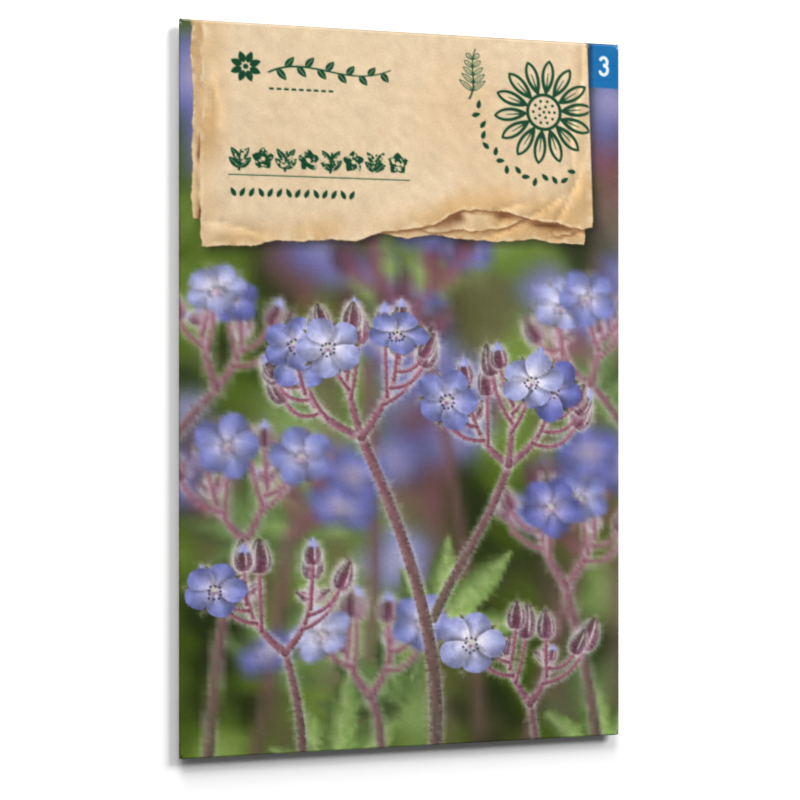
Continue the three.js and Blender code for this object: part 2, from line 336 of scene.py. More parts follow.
def bud(layer, neck, tip, half, rng, fuzz, rosy):
    """A round bud: hairy sepals with pale seams, some of them just parting over a lilac tip."""
    found = blade(layer, neck, tip, half)
    if found is None:
        return
    where, s, along, across, length, width = found

    def swell(share):
        return arch(0.06 + 0.94 * share, 0.72, 0.72)

    cover, t = trim(along, across, width, swell(s), -0.07, 0.09)
    if fuzz:
        down = 0.5 * step(-DOWN * min(1, fuzz), 0.1, (swell(s) - np.abs(across)) * width)
        layer.lay(where, down * (step(-0.12, 0.02, along) * step(-1.14, -0.98, -along)), srgb('d2cac8'))
    t = np.clip(t, -1, 1)
    around = np.arcsin(t)
    body = mix(srgb('6b4152'), srgb('5b5446'), step(0.2, 1.0, s))
    body = mix(body, srgb('a4587a'), rosy * (0.5 + 0.5 * np.cos(around * 2 + 1)))
    shift = rng.uniform(-0.4, 0.4)
    seams = np.exp(-((((around + shift) * 2.4 / math.pi) % 1.0 - 0.5) / 0.09) ** 2)
    colour = mix(body, srgb('ddd4d0'), 0.75 * seams * step(0.04, 0.3, s))
    parting = rng.choice([0.0, 0.0, 1.0]) * step(0.62, 0.72, s + 0.12 * seams)
    colour = mix(colour, mix(srgb('8288d2'), srgb('b9bde8'), 0.5 + 0.5 * t), parting)
    light = 0.60 + 0.50 * np.sqrt(1 - t ** 2) - 0.12 * t + 0.05 * MOTTLE[where]
    grain = 1 + 0.10 * np.sin(s * 46 + around * 7) * np.sin(around * 23 + s * 17)
    layer.lay(where, cover, np.clip(colour * (light * grain)[..., None], 0, 1))
    if fuzz:
        number = int(length * BUD_HAIRS * min(1, fuzz))
        share, offset = rng.uniform(0.0, 0.85, (number, 1)), rng.uniform(-1, 1, (number, 1))
        offset = np.sign(offset) * np.abs(offset) ** 0.35
        way = (tip - neck) / length
        normal = np.array([-way[1], way[0]])
        roots = neck + share * (tip - neck) + swell(share) * width * offset * normal
        out = normal * offset + way * (share - 0.35) * 1.1
        hairs(layer, roots, roots + out * rng.uniform(0.5, 1.3, (number, 1)) * fuzz, 0.55, srgb('f3edf0'))


def hand_leaf(layer, base, way, size, tones, rng):
    """A leaf of five toothed lobes, spread like a hand."""
    for turn, share in ((-74, 0.62), (74, 0.66), (-38, 0.9), (38, 0.86), (0, 1.0)):
        tip = base + heading(way + turn + rng.uniform(-5, 5)) * size * share
        lobe(layer, base, tip, 0.21 * size * share, tones)


def lobe(layer, base, tip, half, tones):
    """A quilted lobe with a toothed edge, a pale midrib and side veins."""
    found = blade(layer, base, tip, half)
    if found is None:
        return
    where, s, along, across, _, width = found
    notch = 0.3 * np.abs(((s * 13 + 0.3 * np.sign(across)) % 1) - 0.5) * 2
    shape = arch(s, 0.8, 0.75) * (1 - 0.2 * s) * (1 - notch + 0.06 * np.sin(s * 11))
    cover, t = trim(along, across, width, shape, -0.08, 0.12)
    cell = (s * 5 - np.abs(t) * 1.3) % 1.0
    side_vein = np.exp(-(np.minimum(cell, 1 - cell) / 0.07) ** 2) * step(0.02, 0.15, np.abs(t))
    midrib = np.exp(-(across * width / 0.28) ** 2)
    quilt = np.sin(cell * math.pi) * (1 - 0.4 * np.abs(t))
    dark, body, bright = tones
    colour = mix(body, bright, np.clip(0.25 + 0.75 * quilt - 0.2 * t, 0, 1))
    colour = mix(colour, dark, 0.55 * (1 - quilt) * step(0.1, 0.9, np.abs(t)))
    fine = 0.5 + 0.5 * np.sin(s * 90 + 9 * np.sin(t * 14)) * np.sin(t * 60 + 5 * np.sin(s * 30))
    pale = np.clip(0.6 * midrib + 0.3 * side_vein, 0, 1)
    colour = mix(mix(colour, dark, 0.14 * fine), srgb('c2cf98'), pale)
    light = 1.0 - 0.16 * t + 0.06 * np.sin(s * 5) + 0.05 * MOTTLE[where]
    layer.lay(where, cover, np.clip(colour * light[..., None], 0, 1))


# The picture on the front: round lilac-blue meadow flowers, hairy buds and hand-shaped leaves in a sunny bed,
# with the nearest sprays sharp and the rest out of focus.

def meadow():
    """The far bed, all soft greens, with brown and mauve where stems stand close together."""
    wide, middling, small = clouds(40, 11), clouds(15, 12), clouds(6, 13)
    blades = soften(clouds(2.5, 16), 1.0) * clouds(12, 17)
    ink = mix(srgb('4f6618'), srgb('7d9a3e'), step(-1.8, 1.8, 0.8 * wide + 0.7 * middling + 0.3 * blades))
    ink = mix(ink, srgb('a3bd6c'), 0.6 * step(0.2, 2.6, middling + 0.6 * small))
    ink = mix(ink, srgb('33421a'), 0.85 * step(0.1, 2.2, -middling - 0.4 * wide + 0.6 * small))
    ink = mix(ink, srgb('776157'), 0.55 * step(0.4, 2.2, clouds(15, 14)))
    return mix(ink, srgb('8f7496'), 0.4 * step(0.7, 2.4, clouds(10, 15)))


STALK_INKS, YOUNG_INKS = inks('6f5f50', '8a5a66'), inks('8a4b5c', 'a3637a')
LEAF_INKS, DIM_LEAF_INKS = inks('4d6b2a', '7b9c4c', 'a5c076'), inks('38491f', '55733a', '7d9a5a')


def footstalk(layer, start, way, length, size, kind, rng, tones, fuzz):
    """A stalk that swings up from a branch, with a bud (b) or an open flower (f) at its end."""
    out = heading(way)
    end = start + out * length * 0.5 + heading(90 + 0.3 * (way - 90)) * length * 0.6
    line = stem(layer, [start, start + out * length * 0.55, end], (0.8, 0.9), YOUNG_INKS, rng, fuzz)
    rise = (line[-1] - line[-5]) / np.linalg.norm(line[-1] - line[-5])
    if kind == 'f':
        blossom(layer, line[-1] + rise, size, rng.uniform(15, 52), rng.uniform(-30, 30), tones, rng, fuzz > 0)
    else:
        bud(layer, line[-1] - rise * 0.5, line[-1] + rise * size, size * rng.uniform(0.3, 0.36), rng, fuzz,
            rng.uniform(0.0, 0.45))


def spray(layer, start, way, reach, kinds, tones, rng, fuzz=1.2):
    """A branch with stalks springing off it left and right, and small buds at its tip."""
    start, out = np.asarray(start, float), heading(way)
    end = start + out * reach * 0.7 + [0, reach * 0.35]
    bow = [start, start + out * reach * 0.6, end]
    line = bend(bow, 40)
    stem(layer, bow, (1.6, 0.9), STALK_INKS[1:] + YOUNG_INKS[1:], rng, fuzz)
    for _ in range(3):
        tip = end + heading(rng.uniform(30, 150)) * rng.uniform(3.5, 4.6)
        bud(layer, end, tip, rng.uniform(1.0, 1.3), rng, fuzz, 0.4)
    count = len(kinds)
    for k in sorted(range(count), key=lambda k: kinds[k] == 'f'):
        at = line[int(12 + 27 * (k + 1) / (count + 1))]
        age = 1 - k / count
        size = rng.uniform(6.6, 7.8) if kinds[k] == 'f' else 4.6 + 2.4 * age * rng.uniform(0.85, 1.1)
        footstalk(layer, at, way + (1 if k % 2 else -1) * rng.uniform(25, 60),
                  (6.0 + 5.0 * age) * rng.uniform(0.8, 1.2), size, kinds[k], rng, tones, fuzz)


def out_of_focus(seed, stalks, flowers, leaves, tall):
    """Plants further back, without the fine hairs that a blur would hide."""
    rng, layer = np.random.default_rng(seed), Layer()
    for _ in range(leaves):
        base = (rng.uniform(-50, 50), rng.uniform(-78, 40))
        hand_leaf(layer, base, rng.uniform(40, 140), rng.uniform(14, 24),
                  LEAF_INKS if rng.random() < 0.5 else DIM_LEAF_INKS, rng)
    for _ in range(stalks):
        foot = np.array([rng.uniform(-50, 50), rng.uniform(-98, -60)])
        top = foot + [rng.uniform(-18, 18), rng.uniform(0.5, 1.0) * tall]
        stem(layer, [foot, (foot + top) / 2 + [rng.uniform(-6, 6), 0], top], (2.6, 1.8), STALK_INKS, rng)
        for way in rng.uniform(15, 165, 3):
            spray(layer, top, way, rng.uniform(9, 16), rng.choice(list('bbbbbf'), 4), VIOLET, rng, 0.0)
    for _ in range(flowers):
        spot = (rng.uniform(-50, 50), rng.uniform(-78, 36))
        blossom(layer, spot, rng.uniform(6.5, 8.5), rng.uniform(20, 65), rng.uniform(-40, 40),
                VIOLET if rng.random() < 0.5 else LILAC, rng, False)
    return layer


# The sharp plants, a row of the list for each group. A plant is the curve of its main stalk, the stalk's
# width at foot and top, the reach of its down, and its sprays: the way each leans, its reach, its buds (b)
# and flowers (f) from the foot up, and the colours of its petals.
CLOSE_PLANTS = [
    [(((43, -80), (40, -56), (36, -48), (35, -42)), (2.4, 1.7), 1.2,
      ((45, 14, 'bfbb', LILAC), (128, 15, 'fbbb', VIOLET)))],
    [(((-42, -80), (-40, -50), (-38, -40), (-34, -31)), (2.3, 1.7), 1.2,
      ((60, 13, 'bbfb', LILAC), (140, 12, 'fbb', LILAC)))],
    [(((58, -26), (52, -12), (46, -4), (41, 1)), (2.0, 1.5), 1.2,
      ((150, 13, 'bbfb', PALE), (75, 11, 'bfb', LILAC)))],
    [(((-58, -24), (-52, -14), (-46, -6), (-40, 0)), (2.0, 1.5), 1.2,
      ((50, 12, 'bfbb', VIOLET), (110, 13, 'fbb', PALE)))],
    [(((-4, -84), (-6, -76), (-5, -70), (-8, -64)), (1.9, 1.5), 1.2,
      ((130, 13, 'bfbb', PALE), (55, 12, 'bbf', LILAC)))],
]
NEAR_PLANTS = [
    [(((5.4, -48), (11, -36), (18, -28), (22, -16)), (2.1, 1.6), 1.2,
      ((146, 13, 'bbbf', LILAC), (34, 16, 'bfbbb', VIOLET), (84, 14, 'fbbb', PALE))),
     (((6, -80), (8, -54), (0, -32), (-10, -10)), (2.8, 2.0), 1.3,
      ((158, 20, 'fbbbfb', LILAC), (108, 19, 'bfbbbb', PALE), (52, 19, 'bbbfbb', LILAC)))],
    [(((-22, -82), (-22, -68), (-24, -61), (-26, -54)), (1.9, 1.4), 1.2,
      ((142, 15, 'bfbbb', LILAC), (48, 12, 'bbbb', LILAC)))],
    [(((30, -84), (29, -78), (28, -72), (27, -67)), (1.6, 1.2), 1.2,
      ((130, 12, 'bfbb', PALE), (50, 10, 'bbb', LILAC)))],
]


def grow(layer, groups, rng):
    """Draws each group of plants, first all its main stalks and then the sprays at their tops."""
    for group in groups:
        for curve, thick, fuzz, _ in group:
            stem(layer, curve, thick, STALK_INKS, rng, fuzz)
        for curve, _, _, sprays in group:
            for way, reach, kinds, tones in sprays:
                spray(layer, curve[-1], way, reach, kinds, tones, rng)


def garden():
    """All the films of the picture, from the back to the front."""
    far = out_of_focus(seed=31, stalks=8, flowers=3, leaves=12, tall=112)
    for x, y, size in ((-44, 64, 11), (-40, 50, 9), (45, 62, 9), (4, 6, 8)):
        blossom(far, (x, y), size, tilt=40, spin=size * 7, tones=VIOLET, rng=np.random.default_rng(size),
                fuzz=False)
    halfway = out_of_focus(seed=36, stalks=4, flowers=3, leaves=5, tall=90)
    close, rng = Layer(), np.random.default_rng(33)
    for x, y, way, size, tones in ((44, -82, 100, 22, LEAF_INKS), (-2, -66, 140, 20, DIM_LEAF_INKS),
                                   (-32, -16, 120, 13, DIM_LEAF_INKS), (6, -50, 44, 23, LEAF_INKS),
                                   (-16, -82, 78, 24, LEAF_INKS)):
        hand_leaf(close, (x, y), way, size, tones, rng)
    grow(close, CLOSE_PLANTS, rng)
    near = Layer()
    grow(near, NEAR_PLANTS, np.random.default_rng(34))
    ink = meadow()
    for layer, blur in ((far, 2.0), (halfway, 0.9), (close, 0.28), (near, 0.06)):
        ink = layer.over(ink, blur)
    return np.clip(ink * 1.05 * ink.mean(2, keepdims=True) ** 0.25, 0, 1)


# The label printed over the picture's top: two torn sheets of brown packing paper, one on the other, with
# creases, fibres, worn lips and the shadow that they would drop, and plant ornaments in dark green.

KRAFT, KRAFT_DEEP, KRAFT_LIP, KRAFT_BROWN = inks('e8cfac', 'd9b27e', 'f3dfba', '8a5a35')
GREEN_INK = srgb('053f25')


def tear(along, seed, sizes):
    """A ragged line: how far a torn edge strays, in mm. sizes pairs each wave's length with its reach."""
    stray = 0.0
    for number, (length, reach) in enumerate(sizes):
        knots = np.random.default_rng([seed, number]).uniform(-1, 1, 400)
        stray = stray + reach * np.interp(along / length + 200, np.arange(400), knots)
    return stray


def torn_sheet(left, right, low_left, low_right, seed, rough, rise=0.0):
    """How far inside a torn sheet each dot is, in mm.

    Its lower edge runs from low_left to low_right, and lifts by rise two thirds of the way along.
    """
    x = (np.arange(ACROSS) + 0.5) / DOTS + LEFT_DOT
    y = (np.arange(UP) + 0.5) / DOTS + LOW_DOT
    fine = [(1.5, 0.16 * rough), (0.5, 0.07)]
    left_edge = left + tear(y, seed, [(13, 0.5), (4.5, 0.35 * rough)] + fine)
    right_edge = right + tear(y, seed + 1, [(16, 0.5), (5, 0.2)] + fine)
    share = (x - left) / (right - left)
    low_edge = low_left + (low_right - low_left) * share + rise * np.exp(-((share - 0.72) / 0.16) ** 2)
    low_edge = low_edge + tear(x, seed + 2, [(17, 0.9), (5.5, 0.8 * rough)] + fine)
    return np.minimum(np.minimum(x - left_edge[:, None], right_edge[:, None] - x), y[:, None] - low_edge)


def creases(seed, lines, strength=1.0):
    """The light and shade of a crumpled sheet, as a factor. Each line is (x, y, degrees, depth, reach).

    strength scales the crumple, all over or dot by dot.
    """
    height = 0.5 * clouds(26, seed) + 0.13 * clouds(7, seed + 1) + 0.025 * clouds(2.2, seed + 2)
    wander = 0.7 * clouds(14, seed + 3)
    for x, y, degrees, depth, reach in lines:
        px, py, way = DOT_X - x, DOT_Y - y, heading(degrees)
        along, off = px * way[0] + py * way[1], py * way[0] - px * way[1] + wander
        ridge = np.exp(-np.abs(off) / 0.65) - 0.5 * np.exp(-np.abs(off + 1.2) / 2.5)
        height = height + depth * np.exp(-(along / reach) ** 2) * ridge
    slope_up, slope_across = np.gradient(soften(height, 0.32))
    return 1 + np.clip((slope_up - slope_across) * DOTS * 0.15, -0.26, 0.16) * strength


def fibres(seed, count, low, high):
    """Short straight fibres and flecks lying in the paper."""
    rng, layer = np.random.default_rng(seed), Layer()
    for tone, share in (('b98a55', 0.6), ('fff3da', 0.4)):
        number = int(count * share)
        roots = np.stack([rng.uniform(a, b, number) for a, b in zip(low, high)], 1)
        turn = rng.uniform(0, 2 * math.pi, number)
        reach = rng.gamma(2.0, 0.28, number)
        tips = roots + np.stack([np.cos(turn), np.sin(turn)], 1) * reach[:, None]
        hairs(layer, roots, tips, 0.30, srgb(tone))
    return layer


def packing_paper(ink, inside, shade, lip, tint):
    """Lays one torn sheet with its worn lip over the ink."""
    grain = 1 + 0.012 * clouds(0.5, 71) + 0.014 * clouds(1.6, 72)
    body = mix(KRAFT, KRAFT_DEEP, np.clip(tint, 0, 1)) * (shade * grain)[..., None]
    body = mix(body, KRAFT_LIP, 0.7 * step(lip, 0.0, inside + 0.3 * clouds(1.3, 73) * lip))
    body = mix(body, KRAFT_BROWN, 0.5 * step(0.16, 0.0, inside))
    return mix(ink, np.clip(body, 0, 1), step(-0.06, 0.06, inside))


def dropped(ink, inside, slip, blur, depth, colour):
    """The soft shadow of a sheet, slipped down and to the right of it."""
    shape = soften((inside > 0).astype(np.float32), blur)
    shape = np.roll(shape, (-int(slip * DOTS), int(slip * DOTS)), (0, 1))
    return mix(ink, colour, depth * shape)


def label(ink):
    """Lays the torn sheets over the picture. Also gives how far inside the upper one each dot is."""
    under = torn_sheet(left=-45.0, right=39.8, low_left=34.6, low_right=31.0, seed=81, rough=0.9)
    upper = torn_sheet(left=-43.2, right=41.4, low_left=28.8, low_right=35.2, seed=91, rough=1.0, rise=4.6)
    upper = np.minimum(upper, 41.3 - 0.032 * (DOT_Y - 40) - DOT_X)
    between = torn_sheet(left=-12.0, right=39.6, low_left=33.4, low_right=33.6, seed=97, rough=2.4, rise=1.8)
    between = np.minimum(between, upper + 4.5)
    ink = dropped(ink, np.maximum(under, upper), slip=0.9, blur=0.7, depth=0.62, colour=srgb('1d1a12'))
    worn = 0.30 * clouds(24, 74) + 0.08 * clouds(6, 75) + 0.012 * (DOT_X - 10)
    on_under = step(-0.05, 0.05, under)
    shade = creases(101, [(36, 33, 20, 0.9, 9), (20, 34, 12, 0.9, 8), (30, 36, -15, 1.0, 7),
                          (-44, 45, 84, 0.5, 12)])
    ink = packing_paper(ink, under, shade * 0.97, lip=0.5, tint=0.8 + 0.25 * clouds(24, 74))
    # A torn layer shows between the two, and the upper sheet gapes over it, so its shadow is deep there.
    ink = dropped(ink, np.minimum(between, under + 1), slip=0.4, blur=0.25, depth=0.85 * on_under,
                  colour=KRAFT_BROWN)
    shade = creases(106, [(30, 35, 25, 1.0, 5), (14, 34, -12, 0.9, 5), (22, 36, 40, 0.8, 6),
                          (35, 36, -30, 0.8, 6)])
    ink = packing_paper(ink, np.minimum(between, under + 0.3), shade, lip=0.6, tint=0.45 + worn)
    caves = on_under * step(4, 14, DOT_X) * step(-0.7, 0.5, clouds(7, 76))
    gap = on_under * step(56, 46, DOT_Y) * step(-1.4, 0.4, clouds(5, 78))
    for slip, blur, depth, tone in ((1.9, 0.4, 0.8 * caves, '8f5f36'),
                                    (1.3, 0.25, 0.9 * caves, '5a341c'),
                                    (0.5, 0.25, 0.95 * on_under, '8a5a35'),
                                    (-0.5, 0.2, 0.95 * gap, '6b4226')):
        ink = dropped(ink, upper, slip, blur, depth, srgb(tone))
    shade = creases(111, [(-41.0, 37, -72, 2.0, 6), (-38.5, 33.0, -64, 1.8, 5), (-35.5, 32.5, -20, 1.4, 7),
                          (36, 42, 62, 1.1, 10), (30, 39, 35, 0.9, 9), (18, 37, 20, 1.1, 10),
                          (4, 34, 5, 0.5, 8), (38, 60, 86, 1.2, 16), (-41, 62, 98, 1.0, 14)],
                    0.4 + 0.7 * step(12.0, 2.0, upper))
    browned = 0.8 * step(8.0, 0.0, upper) * (1 + 0.4 * clouds(9, 77))
    ink = packing_paper(ink, upper, shade, lip=0.8, tint=0.05 + worn * 0.35 + browned)
    flecks = fibres(seed=120, count=1500, low=(-47, 27), high=(47, 80)).over(ink)
    return mix(ink, flecks, step(0.0, 0.3, np.maximum(under, upper))), upper


def stroke(layer, points, width, colour=GREEN_INK):
    """A drawn line of even width, or one that runs from one width to another."""
    points = np.asarray(points, float)
    start, end = np.broadcast_to(width, 2)
    reach = max(start, end)
    found = layer.window(points.min(0) - reach, points.max(0) + reach)
    if found is None:
        return
    where, x, y = found
    inside = np.full((y.size, x.size), -9.0, np.float32)
    count = len(points) - 1
    for k in range(count):
        a, d = points[k], points[k + 1] - points[k]
        t = np.clip(((x - a[0]) * d[0] + (y - a[1]) * d[1]) / (d @ d + 1e-9), 0, 1)
        half = (start + (end - start) * (k + t) / count) / 2
        inside = np.maximum(inside, half - np.hypot(x - a[0] - t * d[0], y - a[1] - t * d[1]))
    layer.lay(where, step(-0.06, 0.06, inside), colour)


def dot(layer, spot, width, colour=GREEN_INK):
    """A round dot of that width."""
    stroke(layer, [spot, np.add(spot, [0.01, 0])], width, colour)


def leaflet(layer, base, tip, half, vein=False, colour=GREEN_INK):
    """A flat drawn leaf or petal. With vein, its midrib is left open."""
    found = blade(layer, base, tip, half)
    if found is None:
        return
    where, _, along, across, _, width = found
    cover, _ = trim(along, across, width, arch(along, 0.8, 0.75), -0.06, 0.06)
    if vein:
        cover = cover * (1 - step(0.10, 0.0, np.abs(across) * width) * step(0.95, 0.75, along))
    layer.lay(where, cover, colour)


def rosette(layer, centre, ways, foot, tip, half, vein=False, colour=GREEN_INK):
    """Drawn leaves or petals about a point, from foot to tip away from it."""
    for way in ways:
        out = heading(way)
        leaflet(layer, centre + out * foot, centre + out * tip, half, vein, colour)


def ring(centre, radius, start=0.0, end=360.0):
    """Points round a circle, or part of one."""
    turn = np.radians(np.linspace(start, end, max(6, int(abs(end - start) / 12))))
    return np.stack([centre[0] + radius * np.cos(turn), centre[1] + radius * np.sin(turn)], 1)


def ornaments():
    """The drawings in green: a small flower and a runner, dashes, a rule, seeds, a flower head and a twig."""
    layer = Layer()
    heart = np.array([-34.0, 65.9])
    rosette(layer, heart, range(22, 382, 45), 0.9, 3.3, 0.72)
    dot(layer, heart, 1.1)
    runner = bend([(-29.2, 65.0), (-21, 69.2), (-13, 62.2), (-3.6, 66.6)], 30)
    stroke(layer, runner, (0.42, 0.22))
    for k in range(11):
        at = runner[2 + int(k * 2.5)]
        leaflet(layer, at, at + heading(50 if k % 2 else -50) * (2.9 - 0.06 * k), 0.72, True)
    for k in range(9):
        stroke(layer, [(-29 + 1.55 * k, 61.6), (-28.4 + 1.55 * k, 61.6)], 0.45)
    stroke(layer, [(-37.5, 43.7), (0.3, 43.7)], 0.2)
    for k in range(14):
        at, way = np.array([-36.6 + 1.9 * k, 40.2]), heading(62 if k % 3 else 118)
        leaflet(layer, at - way, at + way, 0.48)

    head = np.array([30.2, 59.4])
    for k in range(14):
        out, side = heading(360 / 14 * k + 6), heading(360 / 14 * k + 96)
        base, tip = head + out * 4.4, head + out * 11.0
        for hand in (-1, 1):
            stroke(layer, bend([base, base + side * hand * 1.6 + out * 2.4,
                                tip + side * hand * 1.4 - out * 1.2, tip], 12), (0.8, 0.5))
        stroke(layer, [base + out * 1.0, tip - out * 2.6], (0.35, 0.15))
    stroke(layer, ring(head, 3.7), 0.7)
    for radius, number in ((2.4, 10), (1.2, 5), (0.0, 1)):
        for k in range(number):
            dot(layer, head + heading(360 / number * k) * radius, 0.62)
    twig = bend([(13.6, 61.6), (15.6, 65.0), (13.2, 68.5), (15.0, 72.2)], 20)
    stroke(layer, twig, (0.4, 0.2))
    for k, at in enumerate(twig[3:18:3]):
        for side in (-1, 1):
            tip = at + heading(90 - side * 52) * (3.6 - 0.45 * k)
            for lean, reach in ((85, 1.6), (20, 1.8)):
                stroke(layer, bend([at, at + heading(90 - side * lean) * reach, tip], 8), 0.16)
            stroke(layer, [at, at + (tip - at) * 0.7], 0.12)
    rng = np.random.default_rng(130)
    for k in range(15):
        at = head + heading(176 + 8.6 * k) * (14.6 + 0.7 * math.sin(2.1 * k))
        way = heading(rng.uniform(0, 180))
        leaflet(layer, at - way * 0.95, at + way * 0.95, 0.5)
    return layer


def garland():
    """A row of sprigs and flowers, a little worn, as if stamped on the rough paper."""
    layer = Layer()
    for k in range(8):
        foot = np.array([-35.2 + 4.72 * k, 47.1])
        if k % 2:
            rosette(layer, foot, range(18, 378, 72), 0, 2.35, 1.0)
            dot(layer, foot, 0.9, KRAFT)
        else:
            stroke(layer, [foot - [0.2, 2.3], foot + [0.2, 1.6]], (0.55, 0.4))
            for side in (-1, 1):
                leaflet(layer, foot + [0, -1.9], foot + [side * 2.3, 0.2], 0.75, True)
                leaflet(layer, foot + [0, -0.4], foot + [side * 1.9, 2.2], 0.7, True)
    worn = step(-0.2, 0.5, clouds(0.45, 131) + 0.8 * clouds(1.4, 132) + 1.35)
    layer.ink *= worn[..., None]
    layer.cover *= worn
    return layer


def numeral(layer, figure, centre, tall, colour, weight=0.17, narrow=1.0):
    """A plain round-ended numeral of that height in mm, drawn with a pen of even width."""
    parts = {
        '0': [ring((0, 0.2), 0.26, 0, 180), [(-0.26, 0.2), (-0.26, -0.2)], ring((0, -0.2), 0.26, 180, 360),
              [(0.26, -0.2), (0.26, 0.2)]],
        '1': [[(-0.14, 0.28), (0.04, 0.46), (0.04, -0.46)]],
        '2': [ring((0, 0.2), 0.25, 165, -35), [(0.2, 0.06), (-0.26, -0.45), (0.28, -0.45)]],
        '3': [ring((0, 0.22), 0.23, 150, -75), ring((0, -0.2), 0.26, 80, -155)],
        '4': [[(0.14, -0.45), (0.14, 0.45), (-0.28, -0.14), (0.3, -0.14)]],
        '5': [[(0.22, 0.45), (-0.2, 0.45), (-0.23, 0.06)], ring((-0.01, -0.17), 0.28, 130, -150)],
        '6': [ring((0, -0.19), 0.26), bend([(-0.26, -0.19), (-0.26, 0.15), (-0.02, 0.35), (0.14, 0.46)], 8)],
        '7': [[(-0.26, 0.45), (0.26, 0.45), (-0.08, -0.45)]],
        '8': [ring((0, 0.23), 0.2), ring((0, -0.2), 0.26)],
        '9': [ring((0, 0.19), 0.26), bend([(0.26, 0.19), (0.26, -0.15), (0.02, -0.35), (-0.14, -0.46)], 8)],
    }
    for k, digit in enumerate(str(figure)):
        shift = (k - (len(str(figure)) - 1) / 2) * 0.72 * tall
        for part in parts[digit]:
            drawn = np.asarray(part) * (tall * narrow, tall) + centre + (shift, 0)
            stroke(layer, drawn, weight * tall, colour)


def tab():
    """The blue corner tab with a plain numeral."""
    layer = Layer()
    where, x, y = layer.window((40.4, 65.3), (60, 90))
    shape = step(40.35, 40.5, x) * step(65.2, 65.35, y)
    layer.lay(where, shape, srgb('006fb0'))
    layer.lay(where, step(41.45, 41.2, x) * shape, srgb('00426e'))
    numeral(layer, 3, (43.95, 70.05), tall=4.1, colour=srgb('f4f8fb'), narrow=0.85)
    return layer


DOT_GAIN = 0.08         # how far ink spreads on the paper, in mm
picture, upper = label(garden())
printed = mix(picture, garland().over(ornaments().over(picture)), 0.97 * step(-0.3, 0.3, upper - 0.2))
front_print = soften(tab().over(printed), DOT_GAIN)


# The print on the back, seen from behind: plain cream stock with green drawings, a year's calendar with
# numbers for the months and ruled lines for notes. The closing flap is printed as brown packing paper.

CREAM, PALE_GREEN = srgb('f3ecd9'), srgb('b9cc9c')


def calendar(layer):
    """Twelve numbered months, with bars for sowing under glass, sowing outdoors and harvest."""
    left, right, top, under_numbers, low = -40.0, 40.0, -25.2, -30.3, -43.2
    month = (right - left) / 12
    for k in range(12):
        numeral(layer, k + 1, (left + month * (k + 0.5), -27.8), tall=2.6, colour=GREEN_INK, weight=0.13)
    for y, tone, first, last in ((-32.4, 'c9a24a', 2, 4), (-36.5, '5d8a3a', 3, 8), (-40.6, '5f6fc0', 5, 10)):
        stroke(layer, [(left + month * first + 1.3, y), (left + month * last - 1.3, y)], 2.4, srgb(tone))
    for k in range(13):
        x = left + month * k
        stroke(layer, [(x, top), (x, low if k in (0, 12) else under_numbers)], 0.2)
    for y in (top, under_numbers, low):
        stroke(layer, [(left, y), (right, y)], 0.2)


def signs(layer):
    """Three round signs: full sun, water, and a seed in the ground."""
    sun = np.array([-33.0, -15.0])
    for x in (sun[0], -19.0, -5.0):
        stroke(layer, ring((x, -15), 5.0), 0.45)
    stroke(layer, ring(sun, 1.5), 0.55)
    for k in range(8):
        stroke(layer, [sun + heading(45 * k) * 2.3, sun + heading(45 * k) * 3.5], 0.5)
    leaflet(layer, (-19, -18.4), (-19, -11.2), 1.9)
    stroke(layer, ring((-19, -16.2), 1.1), 0.9)
    stroke(layer, [(-9.6, -14.2), (-0.4, -14.2)], 0.4)
    leaflet(layer, (-6.4, -17.3), (-3.6, -16.5), 0.9)
    stroke(layer, bend([(-5, -16.4), (-4.6, -14.6), (-5.4, -13.6), (-5, -12.8)], 8), 0.4)
    for side in (-1, 1):
        leaflet(layer, (-5, -13), (-5 + side * 2.0, -11.6), 0.6)


def tall_drawing(layer, foot, height):
    """A line drawing of the plant, from its root to its flowers."""
    spine = bend([foot, foot + [3, height * 0.4], foot + [-3, height * 0.7], foot + [0.5, height]], 30)
    stroke(layer, spine, (0.9, 0.45))
    for k, at in enumerate(spine[3:16:3]):
        lean = 90 - (58 if k % 2 else -58)
        way, normal = heading(lean), heading(lean + 90)
        tip = at + way * (14 - 1.6 * k)
        for hand in (-1, 1):
            stroke(layer, bend([at, at + way * 4 + normal * hand * 5,
                                tip + normal * hand * 2 - way * 3, tip], 14), 0.32)
        stroke(layer, [at, tip - way], (0.35, 0.15))
        for share, hand in itertools.product((0.22, 0.36, 0.5, 0.64), (-1, 1)):
            root = at + (tip - at) * share
            stroke(layer, [root, root + way * 1.1 + normal * hand * 2.2 * (1 - share)], 0.15)
    for way, top in ((150, spine[22]), (118, spine[-1]), (62, spine[-1]), (28, spine[22])):
        out = heading(way)
        line = bend([top, top + out * 7, top + out * 10 + [0, 0.5], top + out * 10 + [out[0], -5.0]], 16)
        stroke(layer, line, 0.32)
        rosette(layer, line[-1], range(way, way + 360, 72), 0.6, 3.6, 1.0, True)
        stroke(layer, ring(line[-1], 0.45), 0.5)
        at, drop = line[6], np.array([-0.5 * out[0], -4.5])
        stroke(layer, [at, at + drop * 0.5], 0.25)
        leaflet(layer, at + drop * 0.5, at + drop * 1.15, 0.75, True)


